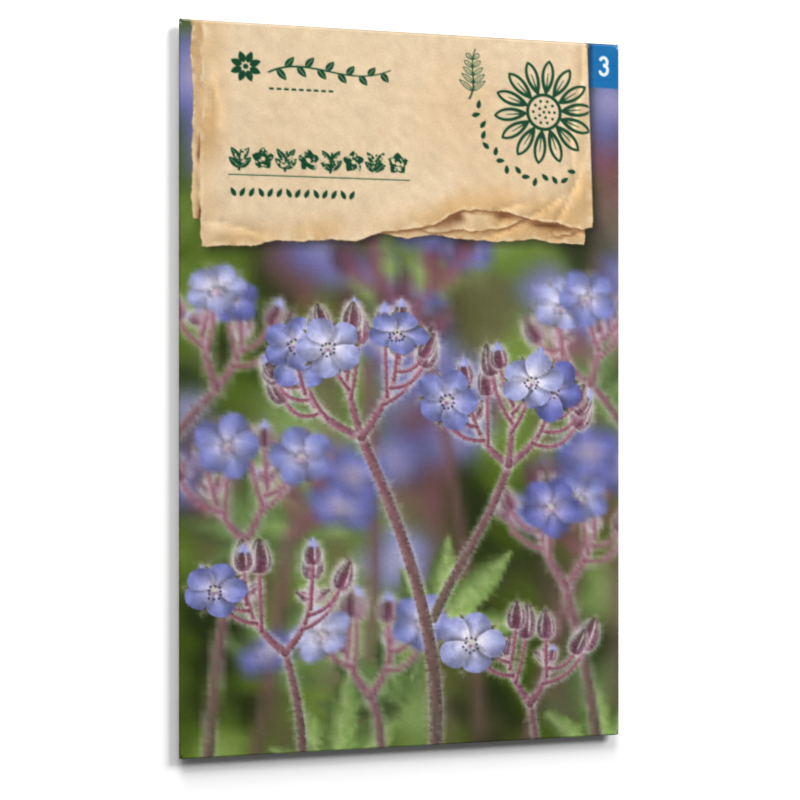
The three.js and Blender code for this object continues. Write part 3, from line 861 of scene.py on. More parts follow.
def back():
    """The back panel, with a band of green and pale leaves at its foot."""
    layer = Layer()
    everywhere = (slice(0, UP), slice(0, ACROSS))
    layer.lay(everywhere, np.repeat(step(-63.8, -64.0, DOT_Y), ACROSS, 1), srgb('2f5b34'))
    for k in range(13):
        rosette(layer, np.array([-43.2 + 7.2 * k, -71.6]), (30, 90, 150), 0, 4.2, 0.95, False, PALE_GREEN)
    calendar(layer)
    signs(layer)
    for k in range(6):
        stroke(layer, [(-38, 46 - 8 * k), (6, 46 - 8 * k)], 0.3, srgb('4f7048'))
    tall_drawing(layer, np.array([25.0, -18.0]), 50)
    return layer.over(np.ones((UP, ACROSS, 3), np.float32) * CREAM)


def closing_flap():
    """Brown paper with a rule and a row of green leaves."""
    whole = np.full((UP, ACROSS), 9.0, np.float32)
    shade = creases(151, [(-30, 66, 15, 0.4, 12), (28, 62, -20, 0.4, 12)])
    bare = np.zeros((UP, ACROSS, 3), np.float32)
    paper = packing_paper(bare, whole, shade, lip=0.01, tint=0.25 + 0.25 * clouds(20, 152))
    layer = fibres(seed=153, count=900, low=(-50, 56), high=(50, 80))
    stroke(layer, [(-36, 62.0), (36, 62.0)], 0.25)
    for k in range(19):
        leaflet(layer, (-36 + 4 * k - 0.6, 65.0), (-36 + 4 * k + 0.6, 68.0), 0.7)
    return layer.over(paper)


back_print, flap_print = soften(back(), DOT_GAIN), soften(closing_flap(), DOT_GAIN)


# ==================================================================== the sheet
# One die-cut sheet of 0.15 mm paper, coated and printed on its outside. The front panel carries two side
# flaps, a back panel and a closing flap, which fold in behind it and are glued, so the sheet is a pocket.
# It pillows a little over the seeds, and lies flat at the folds, which the packing machine presses hard.

PAPER = 0.15                    # thickness of the sheet
GLUE_LINE = 0.14                # room between two plies that are glued together
MOUTH = 0.25                    # room between the front panel and the side flaps
RIM_LIFT = 1.2                  # the back's outline stands this far off the table
POCKET_RISE = 2.5               # the pocket opens this much further over the seeds than at the folds
SIDE_RUN, BOTTOM_RUN, TOP_RUN = 26.0, 24.0, 72.0    # from each fold to the fully open pocket
CORNER_SLIT = 0.4               # the folds stop this far short of the front panel's corners
CORNER_TUCK = 0.2               # share of that over which the corner's paper meets the folds
CORNER_SHARES = (CORNER_TUCK, 0.45, 0.7, 0.9)       # where across the corner's paper the points are
CORNER_BLUNT, CORNER_SINK = 0.2, 0.2                # share of its reach that it lacks, and mm that it sinks
COCKLE = 0.06                   # depth of the slight waves of real paper
SIDE_FLAP, SIDE_TAPER = 12.0, 0.055                 # a flap's reach, and the share by which it narrows
CLOSING_FLAP, CLOSING_TAPER = 18.0, 0.1
BACK_GAP = 2.0                  # the back panel's free edge stops this far short of the top fold

SIDE_DROP = PAPER + MOUTH       # from the middle of one ply to the next, across each fold
BOTTOM_DROP = 2 * PAPER + GLUE_LINE + MOUTH
TOP_DROP = 3 * PAPER + 2 * GLUE_LINE + MOUTH
RIGHT = WIDTH / 2 - (SIDE_DROP + PAPER) / 2         # the front panel is flat paper up to these
BOTTOM = -HEIGHT / 2 + (BOTTOM_DROP + PAPER) / 2
TOP = HEIGHT / 2 - (TOP_DROP + PAPER) / 2
SIDE_ROUND, BOTTOM_ROUND, TOP_ROUND = [math.pi / 2 * drop for drop in (SIDE_DROP, BOTTOM_DROP, TOP_DROP)]
SIDE_START = RIGHT + SIDE_ROUND                     # the flat sheet's flaps start and end at these
SIDE_END = SIDE_START + SIDE_FLAP
BACK_START = BOTTOM - BOTTOM_ROUND
BACK_END = BACK_START - (TOP - BACK_GAP - BOTTOM)
CLOSING_START = TOP + TOP_ROUND
CLOSING_END = CLOSING_START + CLOSING_FLAP
SLIT_X, SLIT_LOW, SLIT_HIGH = RIGHT - CORNER_SLIT, BOTTOM + CORNER_SLIT, TOP - CORNER_SLIT

EDGE_STEP = 0.5                 # spacing of points along the folds and cut edges
FOLD_STEPS = 6                  # facets round a fold
BEFORE_FOLD = (0.15, 0.6)       # rows of points this far before each fold


def fullness(x, y):
    """How open the pocket is: 0 at the folds, and 1 over the seeds."""
    shares = (RIGHT - np.abs(x)) / SIDE_RUN, (y - BOTTOM) / BOTTOM_RUN, (TOP - y) / TOP_RUN
    return math.prod(np.sin(math.pi / 2 * np.clip(share, 0, 1)) for share in shares)


def back_ply(x, y):
    return RIM_LIFT * (1 - fullness(x, y)) + PAPER / 2


def closing_ply(x, y):
    return back_ply(x, y) - GLUE_LINE - PAPER


def side_ply(x, y):
    return back_ply(x, y) + GLUE_LINE + PAPER


def front_ply(x, y):
    """The front panel, with waves that die away towards the folds."""
    waves = 0.5 * np.sin(x / 9.0 + y / 23.0) + 0.3 * np.sin(y / 7.0 - x / 15.0 + 1)
    waves = waves + 0.2 * np.sin(x / 4.3 - y / 6.1 + 2)
    cockle = COCKLE * (waves - 1) * fullness(x, y)
    return side_ply(x, y) + SIDE_DROP + POCKET_RISE * fullness(x, y) + cockle


def folded(u, v):
    """Where points of the flat sheet go when it is folded, and which way its printed side faces there.

    On the front panel u and v are x and y. Off it they run on round the folds and out along the flaps.
    """
    side, low, high = np.maximum(np.abs(u) - RIGHT, 0), np.maximum(BOTTOM - v, 0), np.maximum(v - TOP, 0)
    x, y, hand = np.clip(u, -RIGHT, RIGHT), np.clip(v, BOTTOM, TOP), np.sign(u)
    drop = np.select([side > 0, low > 0, high > 0], [SIDE_DROP, BOTTOM_DROP, TOP_DROP], 0.0)
    travel = side + low + high
    turn = np.minimum(travel / np.maximum(drop / 2, 1e-9), math.pi)
    facing = np.stack([hand * (side > 0) * np.sin(turn), np.sign(high - low) * np.sin(turn), np.cos(turn)], 1)
    place = np.stack([x, y, front_ply(x, y) - drop / 2], 1) + facing * drop[:, None] / 2

    # The little square of paper at each corner is drawn out by the folds beside it.
    reach_x = np.clip((np.abs(x) - SLIT_X) / CORNER_SLIT, 0, 1) * (travel == 0)
    reach_y = np.clip(np.maximum(y - SLIT_HIGH, SLIT_LOW - y) / CORNER_SLIT, 0, 1) * (travel == 0)
    blunt = 1 - CORNER_BLUNT * (reach_x * reach_y) ** 4
    pulled_x = reach_x * np.clip(reach_y / CORNER_TUCK, 0, 1) * blunt
    pulled_y = reach_y * np.clip(reach_x / CORNER_TUCK, 0, 1) * blunt
    place[:, 0] += pulled_x * hand * (SIDE_DROP + PAPER) / 2
    place[:, 1] += pulled_y * np.where(y > 0, (TOP_DROP + PAPER) / 2, -(BOTTOM_DROP + PAPER) / 2)
    place[:, 2] -= CORNER_SINK * (pulled_x + pulled_y)

    # Past its fold, a flap lies on the plies that are already there.
    beyond = travel - math.pi / 2 * drop
    flap_y = y + ((BOTTOM + TOP) / 2 - y) * SIDE_TAPER * (beyond / SIDE_FLAP)
    closing_x = x * (1 - CLOSING_TAPER * beyond / CLOSING_FLAP)
    for here, px, py, ply in ((side > 0, hand * (RIGHT - beyond), flap_y, side_ply),
                              (low > 0, x, BOTTOM + beyond, back_ply),
                              (high > 0, closing_x, TOP - beyond, closing_ply)):
        here = here & (beyond > 0)
        place[here] = np.stack([px, py, ply(px, py)], 1)[here]
    return place, facing


def cut_edge():
    """Points round the flat sheet's cut edge, anticlockwise, with one at each facet of a fold."""
    turns = np.linspace(0, 1, FOLD_STEPS + 1)
    tips = [CORNER_SLIT * share for share in CORNER_SHARES]
    right = [(SLIT_X, BACK_END), *[(SLIT_X, BACK_START + BOTTOM_ROUND * turn) for turn in turns],
             *[(SLIT_X + tip, BOTTOM) for tip in tips], (RIGHT, BOTTOM),
             *[(RIGHT, SLIT_LOW - tip) for tip in tips[::-1]],
             *[(RIGHT + SIDE_ROUND * turn, SLIT_LOW) for turn in turns], (SIDE_END, SLIT_LOW),
             (SIDE_END, SLIT_HIGH), *[(RIGHT + SIDE_ROUND * turn, SLIT_HIGH) for turn in turns[::-1]],
             *[(RIGHT, SLIT_HIGH + tip) for tip in tips], (RIGHT, TOP),
             *[(SLIT_X + tip, TOP) for tip in tips[::-1]],
             *[(SLIT_X, TOP + TOP_ROUND * turn) for turn in turns], (SLIT_X, CLOSING_END)]
    corners = np.array(right + [(-x, y) for x, y in reversed(right)])
    points = []
    for start, end in zip(corners, np.roll(corners, -1, 0)):
        count = math.ceil(np.linalg.norm(end - start) / EDGE_STEP - 1e-6)
        points.append(start + (end - start) * np.arange(count)[:, None] / count)
    return np.concatenate(points)


def fold_rows(spacing):
    """Rows of points along every crease, round every fold, and just before it so that it stays crisp."""
    up = np.arange(SLIT_LOW + spacing, SLIT_HIGH - spacing / 2, spacing)
    over = np.arange(-SLIT_X + spacing, SLIT_X - spacing / 2, spacing)

    def offsets(fold_length):
        turns = np.arange(FOLD_STEPS + 1) / FOLD_STEPS
        return [-gap for gap in BEFORE_FOLD] + (fold_length * turns).tolist()

    rows = [np.stack([hand * (RIGHT + off) + 0 * up, up], 1)
            for off in offsets(SIDE_ROUND) for hand in (-1, 1)]
    rows += [np.stack([over, BOTTOM - off + 0 * over], 1) for off in offsets(BOTTOM_ROUND)]
    rows += [np.stack([over, TOP + off + 0 * over], 1) for off in offsets(TOP_ROUND)]
    for across, along, hand in itertools.product((0.0, *CORNER_SHARES), (0.0, *CORNER_SHARES), (-1, 1)):
        for y in (SLIT_LOW - along * CORNER_SLIT, SLIT_HIGH + along * CORNER_SLIT):
            rows.append([[hand * (SLIT_X + across * CORNER_SLIT), y]])
    return np.concatenate(rows)


def plain_points(low, high, spacing):
    """An even grid of points between two corners."""
    sides = [np.linspace(a, b, math.ceil((b - a) / spacing) + 1)[1:-1] for a, b in zip(low, high)]
    return np.stack(np.meshgrid(*sides), -1).reshape(-1, 2)


SQUARES = (16, 8, 4, 2)         # sides of the squares between the points of a print, in dots


def print_points(picture, budget):
    """Points of a print in mm, close together where it changes fast and far apart where it is even.

    A square is halved while it is bumpier than a limit, which is set so that the points fit the budget.
    """
    most = SQUARES[0]
    rows, columns = picture.shape[0] // most, picture.shape[1] // most
    picture = picture[:rows * most, :columns * most]
    down, along = np.arange(rows * most), np.arange(columns * most)
    bumps = []
    for size in SQUARES[:-1]:
        knots = np.pad(picture[::size, ::size], ((0, 1), (0, 1), (0, 0)), 'edge')
        share = (down % size / size)[:, None, None]
        lines = knots[down // size] * (1 - share) + knots[down // size + 1] * share
        share = (along % size / size)[None, :, None]
        smooth = lines[:, along // size] * (1 - share) + lines[:, along // size + 1] * share
        miss = np.abs(picture - smooth).max(2)
        bumps.append(miss.reshape(rows * most // size, size, -1, size).max((1, 3)))
    fine, coarse = 0.0, 1.0
    while coarse - fine > 1e-4:
        limit = (fine + coarse) / 2
        marked = np.zeros((rows * most // 2 + 1, columns * most // 2 + 1), bool)
        whole = np.ones((rows, columns), bool)
        for level, size in enumerate(SQUARES):
            split = whole & (bumps[level] > limit) if level < len(bumps) else np.zeros_like(whole)
            j, i = np.nonzero(whole & ~split)
            for dj, di in itertools.product((0, 1), repeat=2):
                marked[(j + dj) * size // 2, (i + di) * size // 2] = True
            whole = split.repeat(2, 0).repeat(2, 1)
        fine, coarse = (limit, coarse) if marked.sum() > budget else (fine, limit)
    j, i = np.nonzero(marked)
    return np.stack([(2 * i + 0.5) / DOTS + LEFT_DOT, (2 * j + 0.5) / DOTS + LOW_DOT], 1)


CLEAR = 0.75                    # the points of a print keep this far off the folds and cut edges


def within(points, low, high):
    """The points that are well inside two corners."""
    return points[((points > np.add(low, CLEAR)) & (points < np.subtract(high, CLEAR))).all(1)]


def points_behind(picture, budget, mirror, low, high):
    """Points of a print on the packet's back, at their places on the flat sheet, where it is mirrored."""
    points = print_points(picture, budget)
    return within(np.stack([-points[:, 0], mirror - points[:, 1]], 1), low, high)


def skin(edge, points, printed):
    """Fills the cut edge with triangles through the points, facing out if printed and in if not.

    Gives the flat points, the triangles, and where the edge's points are among them.
    """
    count = len(edge)
    every = [Vector(point) for point in np.concatenate([edge, *points]).tolist()]
    made = delaunay_2d_cdt(every, [(i, (i + 1) % count) for i in range(count)], [], 1, 1e-5)
    flat, triangles = np.array([tuple(point) for point in made[0]]), np.array(made[2])
    a, b, c = (flat[triangles[:, k]] for k in range(3))
    clockwise = np.cross(b - a, c - a) < 0
    wrong = clockwise if printed else ~clockwise
    triangles[wrong] = triangles[wrong][:, ::-1]
    rim = np.zeros(count, int)
    for new, old in enumerate(made[3]):
        for index in old:
            if index < count:
                rim[index] = new
    return flat, triangles, rim


FRONT = (-RIGHT, BOTTOM), (RIGHT, TOP)
BACK = (-SLIT_X, BACK_END), (SLIT_X, BACK_START)
CLOSING = (-SLIT_X, CLOSING_START), (SLIT_X, CLOSING_END)
SIDES = [((-SIDE_END, SLIT_LOW), (-SIDE_START, SLIT_HIGH)), ((SIDE_START, SLIT_LOW), (SIDE_END, SLIT_HIGH))]
FRONT_POINTS, BACK_POINTS = 60500, 22000
CLOSING_POINTS = 9000           # for a whole print's area, of which the flap is an eighth
FLAP_STEP, INNER_STEP, INNER_FOLD_STEP = 4.0, 2.5, 2.0      # between the points where nothing is printed

edge = cut_edge()
side_points = [plain_points(*side, FLAP_STEP) for side in SIDES]
outer, outer_triangles, outer_rim = skin(edge, [
    within(print_points(front_print, FRONT_POINTS), *FRONT), fold_rows(EDGE_STEP),
    points_behind(back_print, BACK_POINTS, BACK_START + BOTTOM, *BACK), *side_points,
    points_behind(flap_print, CLOSING_POINTS, CLOSING_START + TOP, *CLOSING)], True)
inner, inner_triangles, inner_rim = skin(edge, [
    plain_points(*FRONT, INNER_STEP), fold_rows(INNER_FOLD_STEP), *side_points,
    plain_points(*BACK, INNER_STEP), plain_points(*CLOSING, INNER_STEP)], False)

# Each side of the paper is half its thickness off the sheet that folded gives.
halfway, facing = folded(*outer.T)
outside = halfway + facing * 0.5 * PAPER
halfway, inner_facing = folded(*inner.T)
inside = halfway - inner_facing * 0.5 * PAPER
inner_rim = inner_rim + len(outer)
after_outer, after_inner = np.roll(outer_rim, -1), np.roll(inner_rim, -1)
walls = np.concatenate([np.stack([after_outer, outer_rim, inner_rim], 1),
                        np.stack([after_outer, inner_rim, after_inner], 1)])
triangles = np.concatenate([outer_triangles, inner_triangles + len(outer), walls])

sheet_mesh = bpy.data.meshes.new("folded_sheet")
sheet_mesh.from_pydata(np.concatenate([outside, inside]) / 1000, [], triangles)
sheet_mesh.shade_smooth()
ends = np.zeros(len(sheet_mesh.edges) * 2, np.int32)
sheet_mesh.edges.foreach_get("vertices", ends)
on_rim = np.isin(ends, np.concatenate([outer_rim, inner_rim])).reshape(-1, 2).all(1)
sheet_mesh.attributes.new("sharp_edge", "BOOLEAN", "EDGE").data.foreach_set("value", on_rim)

# The ink: the front's print runs round the side folds and halfway round the others, where the prints behind
# start. The side flaps stay bare paper.
BARE = srgb('f4f2ec')
WRAP = 1.2                      # reach of the ink that wraps the cut edge at the front's corners


def ink_at(picture, x, y):
    """The print's colour at points, in mm."""
    i = np.clip((x - LEFT_DOT) * DOTS - 0.5, 0, ACROSS - 1.001)
    j = np.clip((y - LOW_DOT) * DOTS - 0.5, 0, UP - 1.001)
    i0, j0 = i.astype(int), j.astype(int)
    fx, fy = (i - i0)[:, None], (j - j0)[:, None]
    low = picture[j0, i0] * (1 - fx) + picture[j0, i0 + 1] * fx
    high = picture[j0 + 1, i0] * (1 - fx) + picture[j0 + 1, i0 + 1] * fx
    return low * (1 - fy) + high * fy


def at_corner(places):
    """Whether places of the flat sheet are at a corner of the front, where the ink wraps the cut edge."""
    x, y = places.T
    return np.hypot(np.abs(x) - RIGHT, np.minimum(np.abs(y - BOTTOM), np.abs(y - TOP))) < WRAP


def linear(colour):
    """sRGB numbers turned to linear light."""
    return np.where(colour <= 0.04045, colour / 12.92, ((colour + 0.055) / 1.055) ** 2.4)


INK_STRENGTH = 0.79             # the lamps light the paper a little above white, so all the ink is darker
TOP_FOLD_PAINTED_SHADE = 0.35                # painted shade: the ink is this much darker again where it turns away over the top fold
DARKEST = 0.002                 # even solid ink gives back this much light
x, y = outer.T
ink = ink_at(front_print, x, y)
round_fold = (np.abs(x) > RIGHT - EDGE_STEP) | (y > TOP - EDGE_STEP)       # where the points are sparse
ink[round_fold] = ink_at(soften(front_print, EDGE_STEP / 2), x, y)[round_fold]
for picture, here in ((back_print, y < BOTTOM - BOTTOM_ROUND / 2), (flap_print, y > TOP + TOP_ROUND / 2)):
    ink[here] = ink_at(picture, -outside[:, 0], outside[:, 1])[here]
# Painted shade: the ink is darkened where the sheet turns over the top fold, which the low lamps light
# brightly.
ink *= 1 - TOP_FOLD_PAINTED_SHADE * step(0.1, 0.7, facing[:, 1:2])
ink = np.concatenate([ink, np.broadcast_to(BARE, (len(inner), 3))])
flat = np.concatenate([outer, inner])
ink[inner_rim] = np.where(at_corner(flat[inner_rim])[:, None], ink[outer_rim], ink[inner_rim])
colours = np.ones((len(ink), 4), np.float32)
colours[:, :3] = np.clip(linear(ink) * INK_STRENGTH, DARKEST, 1)
sheet_mesh.attributes.new("ink", "FLOAT_COLOR", "POINT").data.foreach_set("color", colours.ravel())

# How much each point is rubbed by hands and boxes: most along the folds' outermost line and at the corners.
rubbed = np.zeros(len(ink), np.float32)
off_corner = np.hypot(WIDTH / 2 - np.abs(outside[:, 0]), HEIGHT / 2 - np.abs(outside[:, 1]))
rubbed[:len(outer)] = np.maximum(step(0.75, 1.0, 1 - np.abs(facing[:, 2])), 0.6 * step(WRAP, 0.2, off_corner))
sheet_mesh.attributes.new("rub", "FLOAT", "POINT").data.foreach_set("value", rubbed)

# The map of the sheet: the front with its folds takes the left three fifths, then come the back and the
# closing flap, and the parts that are never seen share narrow strips.
corners = flat[triangles.ravel()]
middle = np.repeat(flat[triangles].mean(1), 3, 0)
kind = np.repeat(np.repeat([0, 1, 2], [len(outer_triangles), len(inner_triangles), len(walls)]), 3)
x, y = middle.T
on_front = (np.abs(x) <= SIDE_START) & (y > BACK_START) & (y < CLOSING_START)
zones = [(on_front, ((-SIDE_START, BACK_START), (SIDE_START, CLOSING_START)), (0.0, 0.0), (0.6, 1.0)),
         (y <= BACK_START, BACK, (0.605, 0.0), (0.9, 0.86)),
         (y >= CLOSING_START, CLOSING, (0.605, 0.87), (0.9, 1.0)),
         (x > SIDE_START, SIDES[1], (0.96, 0.0), (0.975, 0.49)),
         (x < -SIDE_START, SIDES[0], (0.96, 0.5), (0.975, 1.0)),
         (kind == 1, ((-SIDE_END, BACK_END), (SIDE_END, CLOSING_END)), (0.905, 0.0), (0.955, 1.0))]
spots = np.zeros((len(corners), 2))
for here, (low, high), chart_low, chart_high in zones:
    share = (corners[here] - low) / np.subtract(high, low)
    spots[here] = np.array(chart_low) + share * np.subtract(chart_high, chart_low)
along, share = np.arange(len(edge)) / len(edge), 1 / len(edge)
wall_v = np.concatenate([np.stack([along + share, along, along], 1),
                         np.stack([along + share, along, along + share], 1)])
wall_u = np.repeat([[0.98, 0.98, 1.0], [0.98, 1.0, 1.0]], len(edge), 0)
spots[kind == 2] = np.stack([wall_u.ravel(), wall_v.ravel()], 1)
chart = sheet_mesh.uv_layers.new(name="OFBake")
chart.data.foreach_set("uv", np.clip(spots, 0, 1).astype(np.float32).ravel())


def put(name, data):
    """An object with that data, placed in the scene."""
    thing = bpy.data.objects.new(name, data)
    bpy.context.scene.collection.objects.link(thing)
    return thing


def add_node(tree, kind, given):
    """Adds a node. given holds its properties and input values, and the nodes or outputs that feed it."""
    node = tree.nodes.new("ShaderNode" + kind)
    for name, value in given.items():
        if isinstance(value, bpy.types.Node):
            value = value.outputs[0]
        if isinstance(value, bpy.types.NodeSocket):
            tree.links.new(node.inputs[name], value)
        elif isinstance(name, int) or name in node.inputs:
            node.inputs[name].default_value = value
        else:
            setattr(node, name, value)
    return node


def new_material(name):
    material = bpy.data.materials.new(name)
    material.use_nodes = True
    material.node_tree.nodes.clear()
    return material, material.node_tree


def paint(code):
    """A hex colour as linear light, for a node."""
    return (*linear(srgb(code)).tolist(), 1.0)


def per_mm(size):
    """The scale of a noise whose grain is that many mm."""
    return 1000 / size


# Coated one-side paper, offset printed and varnished: an even satin sheen on a faint tooth of fibres, with
# the ink mottled by flakes of pulp and rubbed to pale flecks along the folds. The tooth and the mottle are
# drawn about three times too coarse, or they wouldn't show.
COAT_ROUGHNESS, COAT_IOR, COAT_SHINE = (0.28, 0.36), 1.5, 0.25
COLOUR_A, COLOUR_B, COLOUR_RESULT = 6, 7, 2         # the Mix node's colour sockets
MIDDLE_TONES = {"From Min": 0.3, "From Max": 0.7}   # the range that a noise mostly keeps to
coated, tree = new_material("coated_paper_offset_print")
spot = add_node(tree, "TexCoord", {}).outputs["Object"]
ink_tone = add_node(tree, "Attribute", {"attribute_name": "ink"})
rub = add_node(tree, "Attribute", {"attribute_name": "rub"}).outputs["Fac"]
formation = add_node(tree, "TexNoise", {"Vector": spot, "Scale": per_mm(2.5), "Detail": 4.0,
                                        "Roughness": 0.6})
tooth = add_node(tree, "TexNoise", {"Vector": spot, "Scale": per_mm(0.3), "Detail": 3.0})
flakes = add_node(tree, "TexNoise", {"Vector": spot, "Scale": per_mm(0.45), "Detail": 5.0, "Roughness": 0.7})
cloudy = add_node(tree, "MapRange", {"Value": formation, **MIDDLE_TONES, "To Min": 0.975, "To Max": 1.025})
speckle = add_node(tree, "MapRange", {"Value": flakes, **MIDDLE_TONES, "To Min": 0.92, "To Max": 1.08})
uneven = add_node(tree, "Math", {"operation": "MULTIPLY", 0: cloudy, 1: speckle})
shaded = add_node(tree, "VectorMath", {"operation": "SCALE", "Vector": ink_tone, "Scale": uneven})
worn = add_node(tree, "Math", {"operation": "MULTIPLY", 0: rub, 1: flakes})
bare_spots = add_node(tree, "MapRange", {"Value": worn, "From Min": 0.42, "From Max": 0.58, "To Max": 0.55})
surface = add_node(tree, "Mix", {"data_type": "RGBA", 0: bare_spots, COLOUR_A: shaded,
                                 COLOUR_B: paint("d8d2c4")})
sheen = add_node(tree, "MapRange", {"Value": formation, **MIDDLE_TONES, "To Min": COAT_ROUGHNESS[0],
                                    "To Max": COAT_ROUGHNESS[1]})
dull = add_node(tree, "Math", {"operation": "ADD", "use_clamp": True, 0: sheen, 1: bare_spots})
relief = add_node(tree, "Math", {"operation": "MULTIPLY_ADD", 0: formation, 1: 0.6, 2: tooth})
bump = add_node(tree, "Bump", {"Height": relief, "Strength": 0.35, "Distance": 0.00002})
coat = add_node(tree, "BsdfPrincipled", {"Base Color": surface.outputs[COLOUR_RESULT], "Roughness": dull,
                                         "IOR": COAT_IOR, "Specular IOR Level": COAT_SHINE, "Normal": bump})
add_node(tree, "OutputMaterial", {"Surface": coat})

# The sheet's uncoated inside: bleached pulp, matt and a little cloudy, with long pale fibres in it.
PULP_ROUGHNESS, PULP_IOR, PULP_SHINE = (0.72, 0.92), 1.5, 0.25
uncoated, tree = new_material("uncoated_wood_free_paper")
spot = add_node(tree, "TexCoord", {}).outputs["Object"]
formation = add_node(tree, "TexNoise", {"Vector": spot, "Scale": per_mm(3.0), "Detail": 5.0,
                                        "Roughness": 0.65})
stretch = add_node(tree, "Mapping", {"Vector": spot, "Rotation": (0, 0, 0.3), "Scale": (1, 0.18, 1)})
fibre = add_node(tree, "TexNoise", {"Vector": stretch, "Scale": per_mm(0.35), "Detail": 3.0,
                                    "Distortion": 0.6})
pulp = add_node(tree, "ValToRGB", {"Fac": formation})
for stop, tone in zip(pulp.color_ramp.elements, ("e6e1d5", "f6f3ea")):
    stop.color = paint(tone)
strand = add_node(tree, "MapRange", {"Value": fibre, "From Min": 0.55, "From Max": 0.75, "To Max": 0.3})
surface = add_node(tree, "Mix", {"data_type": "RGBA", 0: strand, COLOUR_A: pulp, COLOUR_B: paint("cfc6b2")})
rough = add_node(tree, "MapRange", {"Value": fibre, "To Min": PULP_ROUGHNESS[0], "To Max": PULP_ROUGHNESS[1]})
bump = add_node(tree, "Bump", {"Height": fibre, "Strength": 0.5, "Distance": 0.00003})
lining = add_node(tree, "BsdfPrincipled", {"Base Color": surface.outputs[COLOUR_RESULT], "Roughness": rough,
                                           "IOR": PULP_IOR, "Specular IOR Level": PULP_SHINE, "Normal": bump})
add_node(tree, "OutputMaterial", {"Surface": lining})
sheet_mesh.materials.append(coated)
sheet_mesh.materials.append(uncoated)
finish_index = ((kind == 1) | (kind == 2) & ~at_corner(middle))[::3].astype(np.int32)
sheet_mesh.polygons.foreach_set("material_index", finish_index)
sheet_mesh.update()

sheet = put("folded_sheet", sheet_mesh)
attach(sheet, "root")
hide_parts("packet")


# ==================================================================== the glue
# Three thin films of starch glue, rolled on by the bag machine and pressed flat between the plies while wet:
# one on each side flap, and one under the closing flap. They dry to a yellowish film with fine bubbles.

FILM_ROUGHNESS, FILM_IOR = (0.28, 0.5), 1.47
glue, tree = new_material("dried_starch_glue")
spot = add_node(tree, "TexCoord", {}).outputs["Object"]
pool = add_node(tree, "TexNoise", {"Vector": spot, "Scale": per_mm(4.0), "Detail": 4.0})
bubble = add_node(tree, "TexVoronoi", {"Vector": spot, "Scale": per_mm(0.6), "Randomness": 1.0})
film = add_node(tree, "ValToRGB", {"Fac": pool})
for stop, tone in zip(film.color_ramp.elements, ("cdb98a", "e9e0c6")):
    stop.color = paint(tone)
open_bubble = add_node(tree, "MapRange", {"Value": bubble, "From Min": 0.12, "From Max": 0.22})
gloss = add_node(tree, "MapRange", {"Value": pool, "To Min": FILM_ROUGHNESS[0], "To Max": FILM_ROUGHNESS[1]})
bump = add_node(tree, "Bump", {"Height": open_bubble, "Strength": 0.4, "Distance": 0.00005})
dried = add_node(tree, "BsdfPrincipled", {"Base Color": film, "Roughness": gloss, "IOR": FILM_IOR,
                                          "Normal": bump})
add_node(tree, "OutputMaterial", {"Surface": dried})
for name in ("glue_left", "glue_right", "glue_closing"):
    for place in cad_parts[name].material_slots:
        place.material = glue


# ==================================================================== the seeds
# Forty ripe nutlets, loose between the front and back panels: hard, nearly black shells with raised ribs,
# fine warts between them and a paler bloom where they have rubbed together.

SHELL_ROUGHNESS, SHELL_IOR = (0.45, 0.75), 1.45
nutlet, tree = new_material("ripe_nutlet_shell")
spot = add_node(tree, "TexCoord", {}).outputs["Object"]
patch = add_node(tree, "TexNoise", {"Vector": spot, "Scale": per_mm(1.5), "Detail": 6.0, "Roughness": 0.65})
rib = add_node(tree, "TexWave", {"Vector": spot, "Scale": per_mm(2.2), "Distortion": 6.0, "Detail": 3.0})
rib = rib.outputs["Fac"]
wart = add_node(tree, "TexVoronoi", {"Vector": spot, "Scale": per_mm(0.22)})
dark = add_node(tree, "ValToRGB", {"Fac": patch})
for stop, at, tone in zip(dark.color_ramp.elements, (0.3, 0.75), ("17110d", "5a4634")):
    stop.position = at
    stop.color = paint(tone)
bloom = add_node(tree, "MapRange", {"Value": rib, "From Min": 0.7, "To Max": 0.35})
surface = add_node(tree, "Mix", {"data_type": "RGBA", 0: bloom, COLOUR_A: dark, COLOUR_B: paint("8a7a64")})
matt = add_node(tree, "MapRange", {"Value": patch, "To Min": SHELL_ROUGHNESS[0],
                                   "To Max": SHELL_ROUGHNESS[1]})
relief = add_node(tree, "Math", {"operation": "MULTIPLY_ADD", 0: wart, 1: 0.5, 2: rib})
bump = add_node(tree, "Bump", {"Height": relief, "Strength": 0.7, "Distance": 0.00012})
shell = add_node(tree, "BsdfPrincipled", {"Base Color": surface.outputs[COLOUR_RESULT], "Roughness": matt,
                                          "IOR": SHELL_IOR, "Normal": bump})
add_node(tree, "OutputMaterial", {"Surface": shell})
for name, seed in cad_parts.items():
    if name.startswith("seed_"):
        for place in seed.material_slots:
            place.material = nutlet


# ==================================================================== the table, the light and the camera
# A matt white table in an even white surround, under two large soft lamps: one at the upper right, and one
# lower over the top. The camera looks straight at the packet's long axis, from a little to its left.

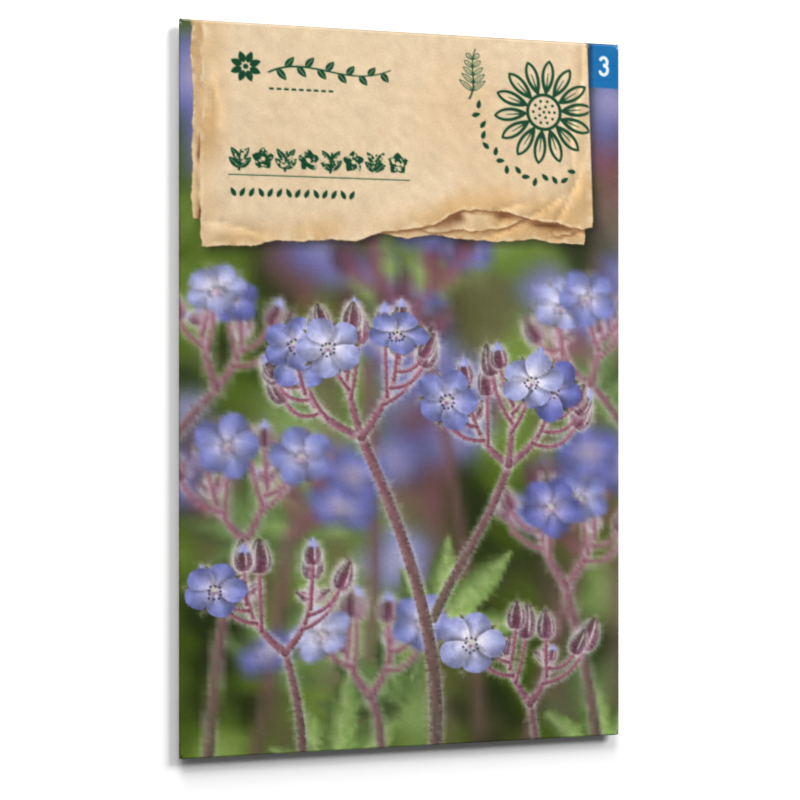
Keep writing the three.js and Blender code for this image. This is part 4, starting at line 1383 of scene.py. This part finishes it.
TABLE = 1.5                 # metres from its middle to each edge
TABLE_WHITE, TABLE_ROUGHNESS = (0.96, 0.96, 0.96, 1), 0.9
table_mesh = bpy.data.meshes.new("table")
table_mesh.from_pydata([(-TABLE, -TABLE, 0), (TABLE, -TABLE, 0), (TABLE, TABLE, 0), (-TABLE, TABLE, 0)], [],
                       [(0, 1, 2, 3)])
table = put("table", table_mesh)
white, tree = new_material("matt_white_table")
board = add_node(tree, "BsdfPrincipled", {"Base Color": TABLE_WHITE, "Roughness": TABLE_ROUGHNESS})
add_node(tree, "OutputMaterial", {"Surface": board})
table_mesh.materials.append(white)

SURROUND = 0.12             # its light, as a share of full white
world = bpy.data.worlds.new("white_surround")
world.use_nodes = True
world.node_tree.nodes["Background"].inputs["Color"].default_value = (1, 1, 1, 1)
world.node_tree.nodes["Background"].inputs["Strength"].default_value = SURROUND
bpy.context.scene.world = world

LAMP_DISTANCE = 2.6         # metres


def soft_lamp(name, azimuth, elevation, size, light):
    """A square softbox aimed at the packet. light is its share of full white on the table."""
    data = bpy.data.lights.new(name, "AREA")
    data.size = size
    climb = math.radians(elevation)
    data.energy = light * math.pi ** 2 * LAMP_DISTANCE ** 2 / math.sin(climb)
    way = Vector((*heading(azimuth) * math.cos(climb), math.sin(climb)))
    lamp = put(name, data)
    lamp.location = way * LAMP_DISTANCE
    lamp.rotation_euler = (-way).to_track_quat("-Z", "Y").to_euler()


soft_lamp("corner_softbox", azimuth=42, elevation=31, size=1.0, light=0.63)
soft_lamp("upper_softbox", azimuth=96, elevation=20.5, size=1.2, light=0.50)

LENS, SENSOR = 69.2, 36             # mm
TURN = math.radians(14.0)           # the camera stands this far to the packet's left
STAND = (-0.07938, -0.00223, 0.31447)   # metres
camera_data = bpy.data.cameras.new("camera")
camera_data.lens = LENS
camera_data.sensor_width = SENSOR
camera = put("camera", camera_data)
camera.location = STAND
camera.rotation_euler = (0, -TURN, 0)
bpy.context.scene.camera = camera
bpy.context.scene.view_settings.view_transform = "Standard"
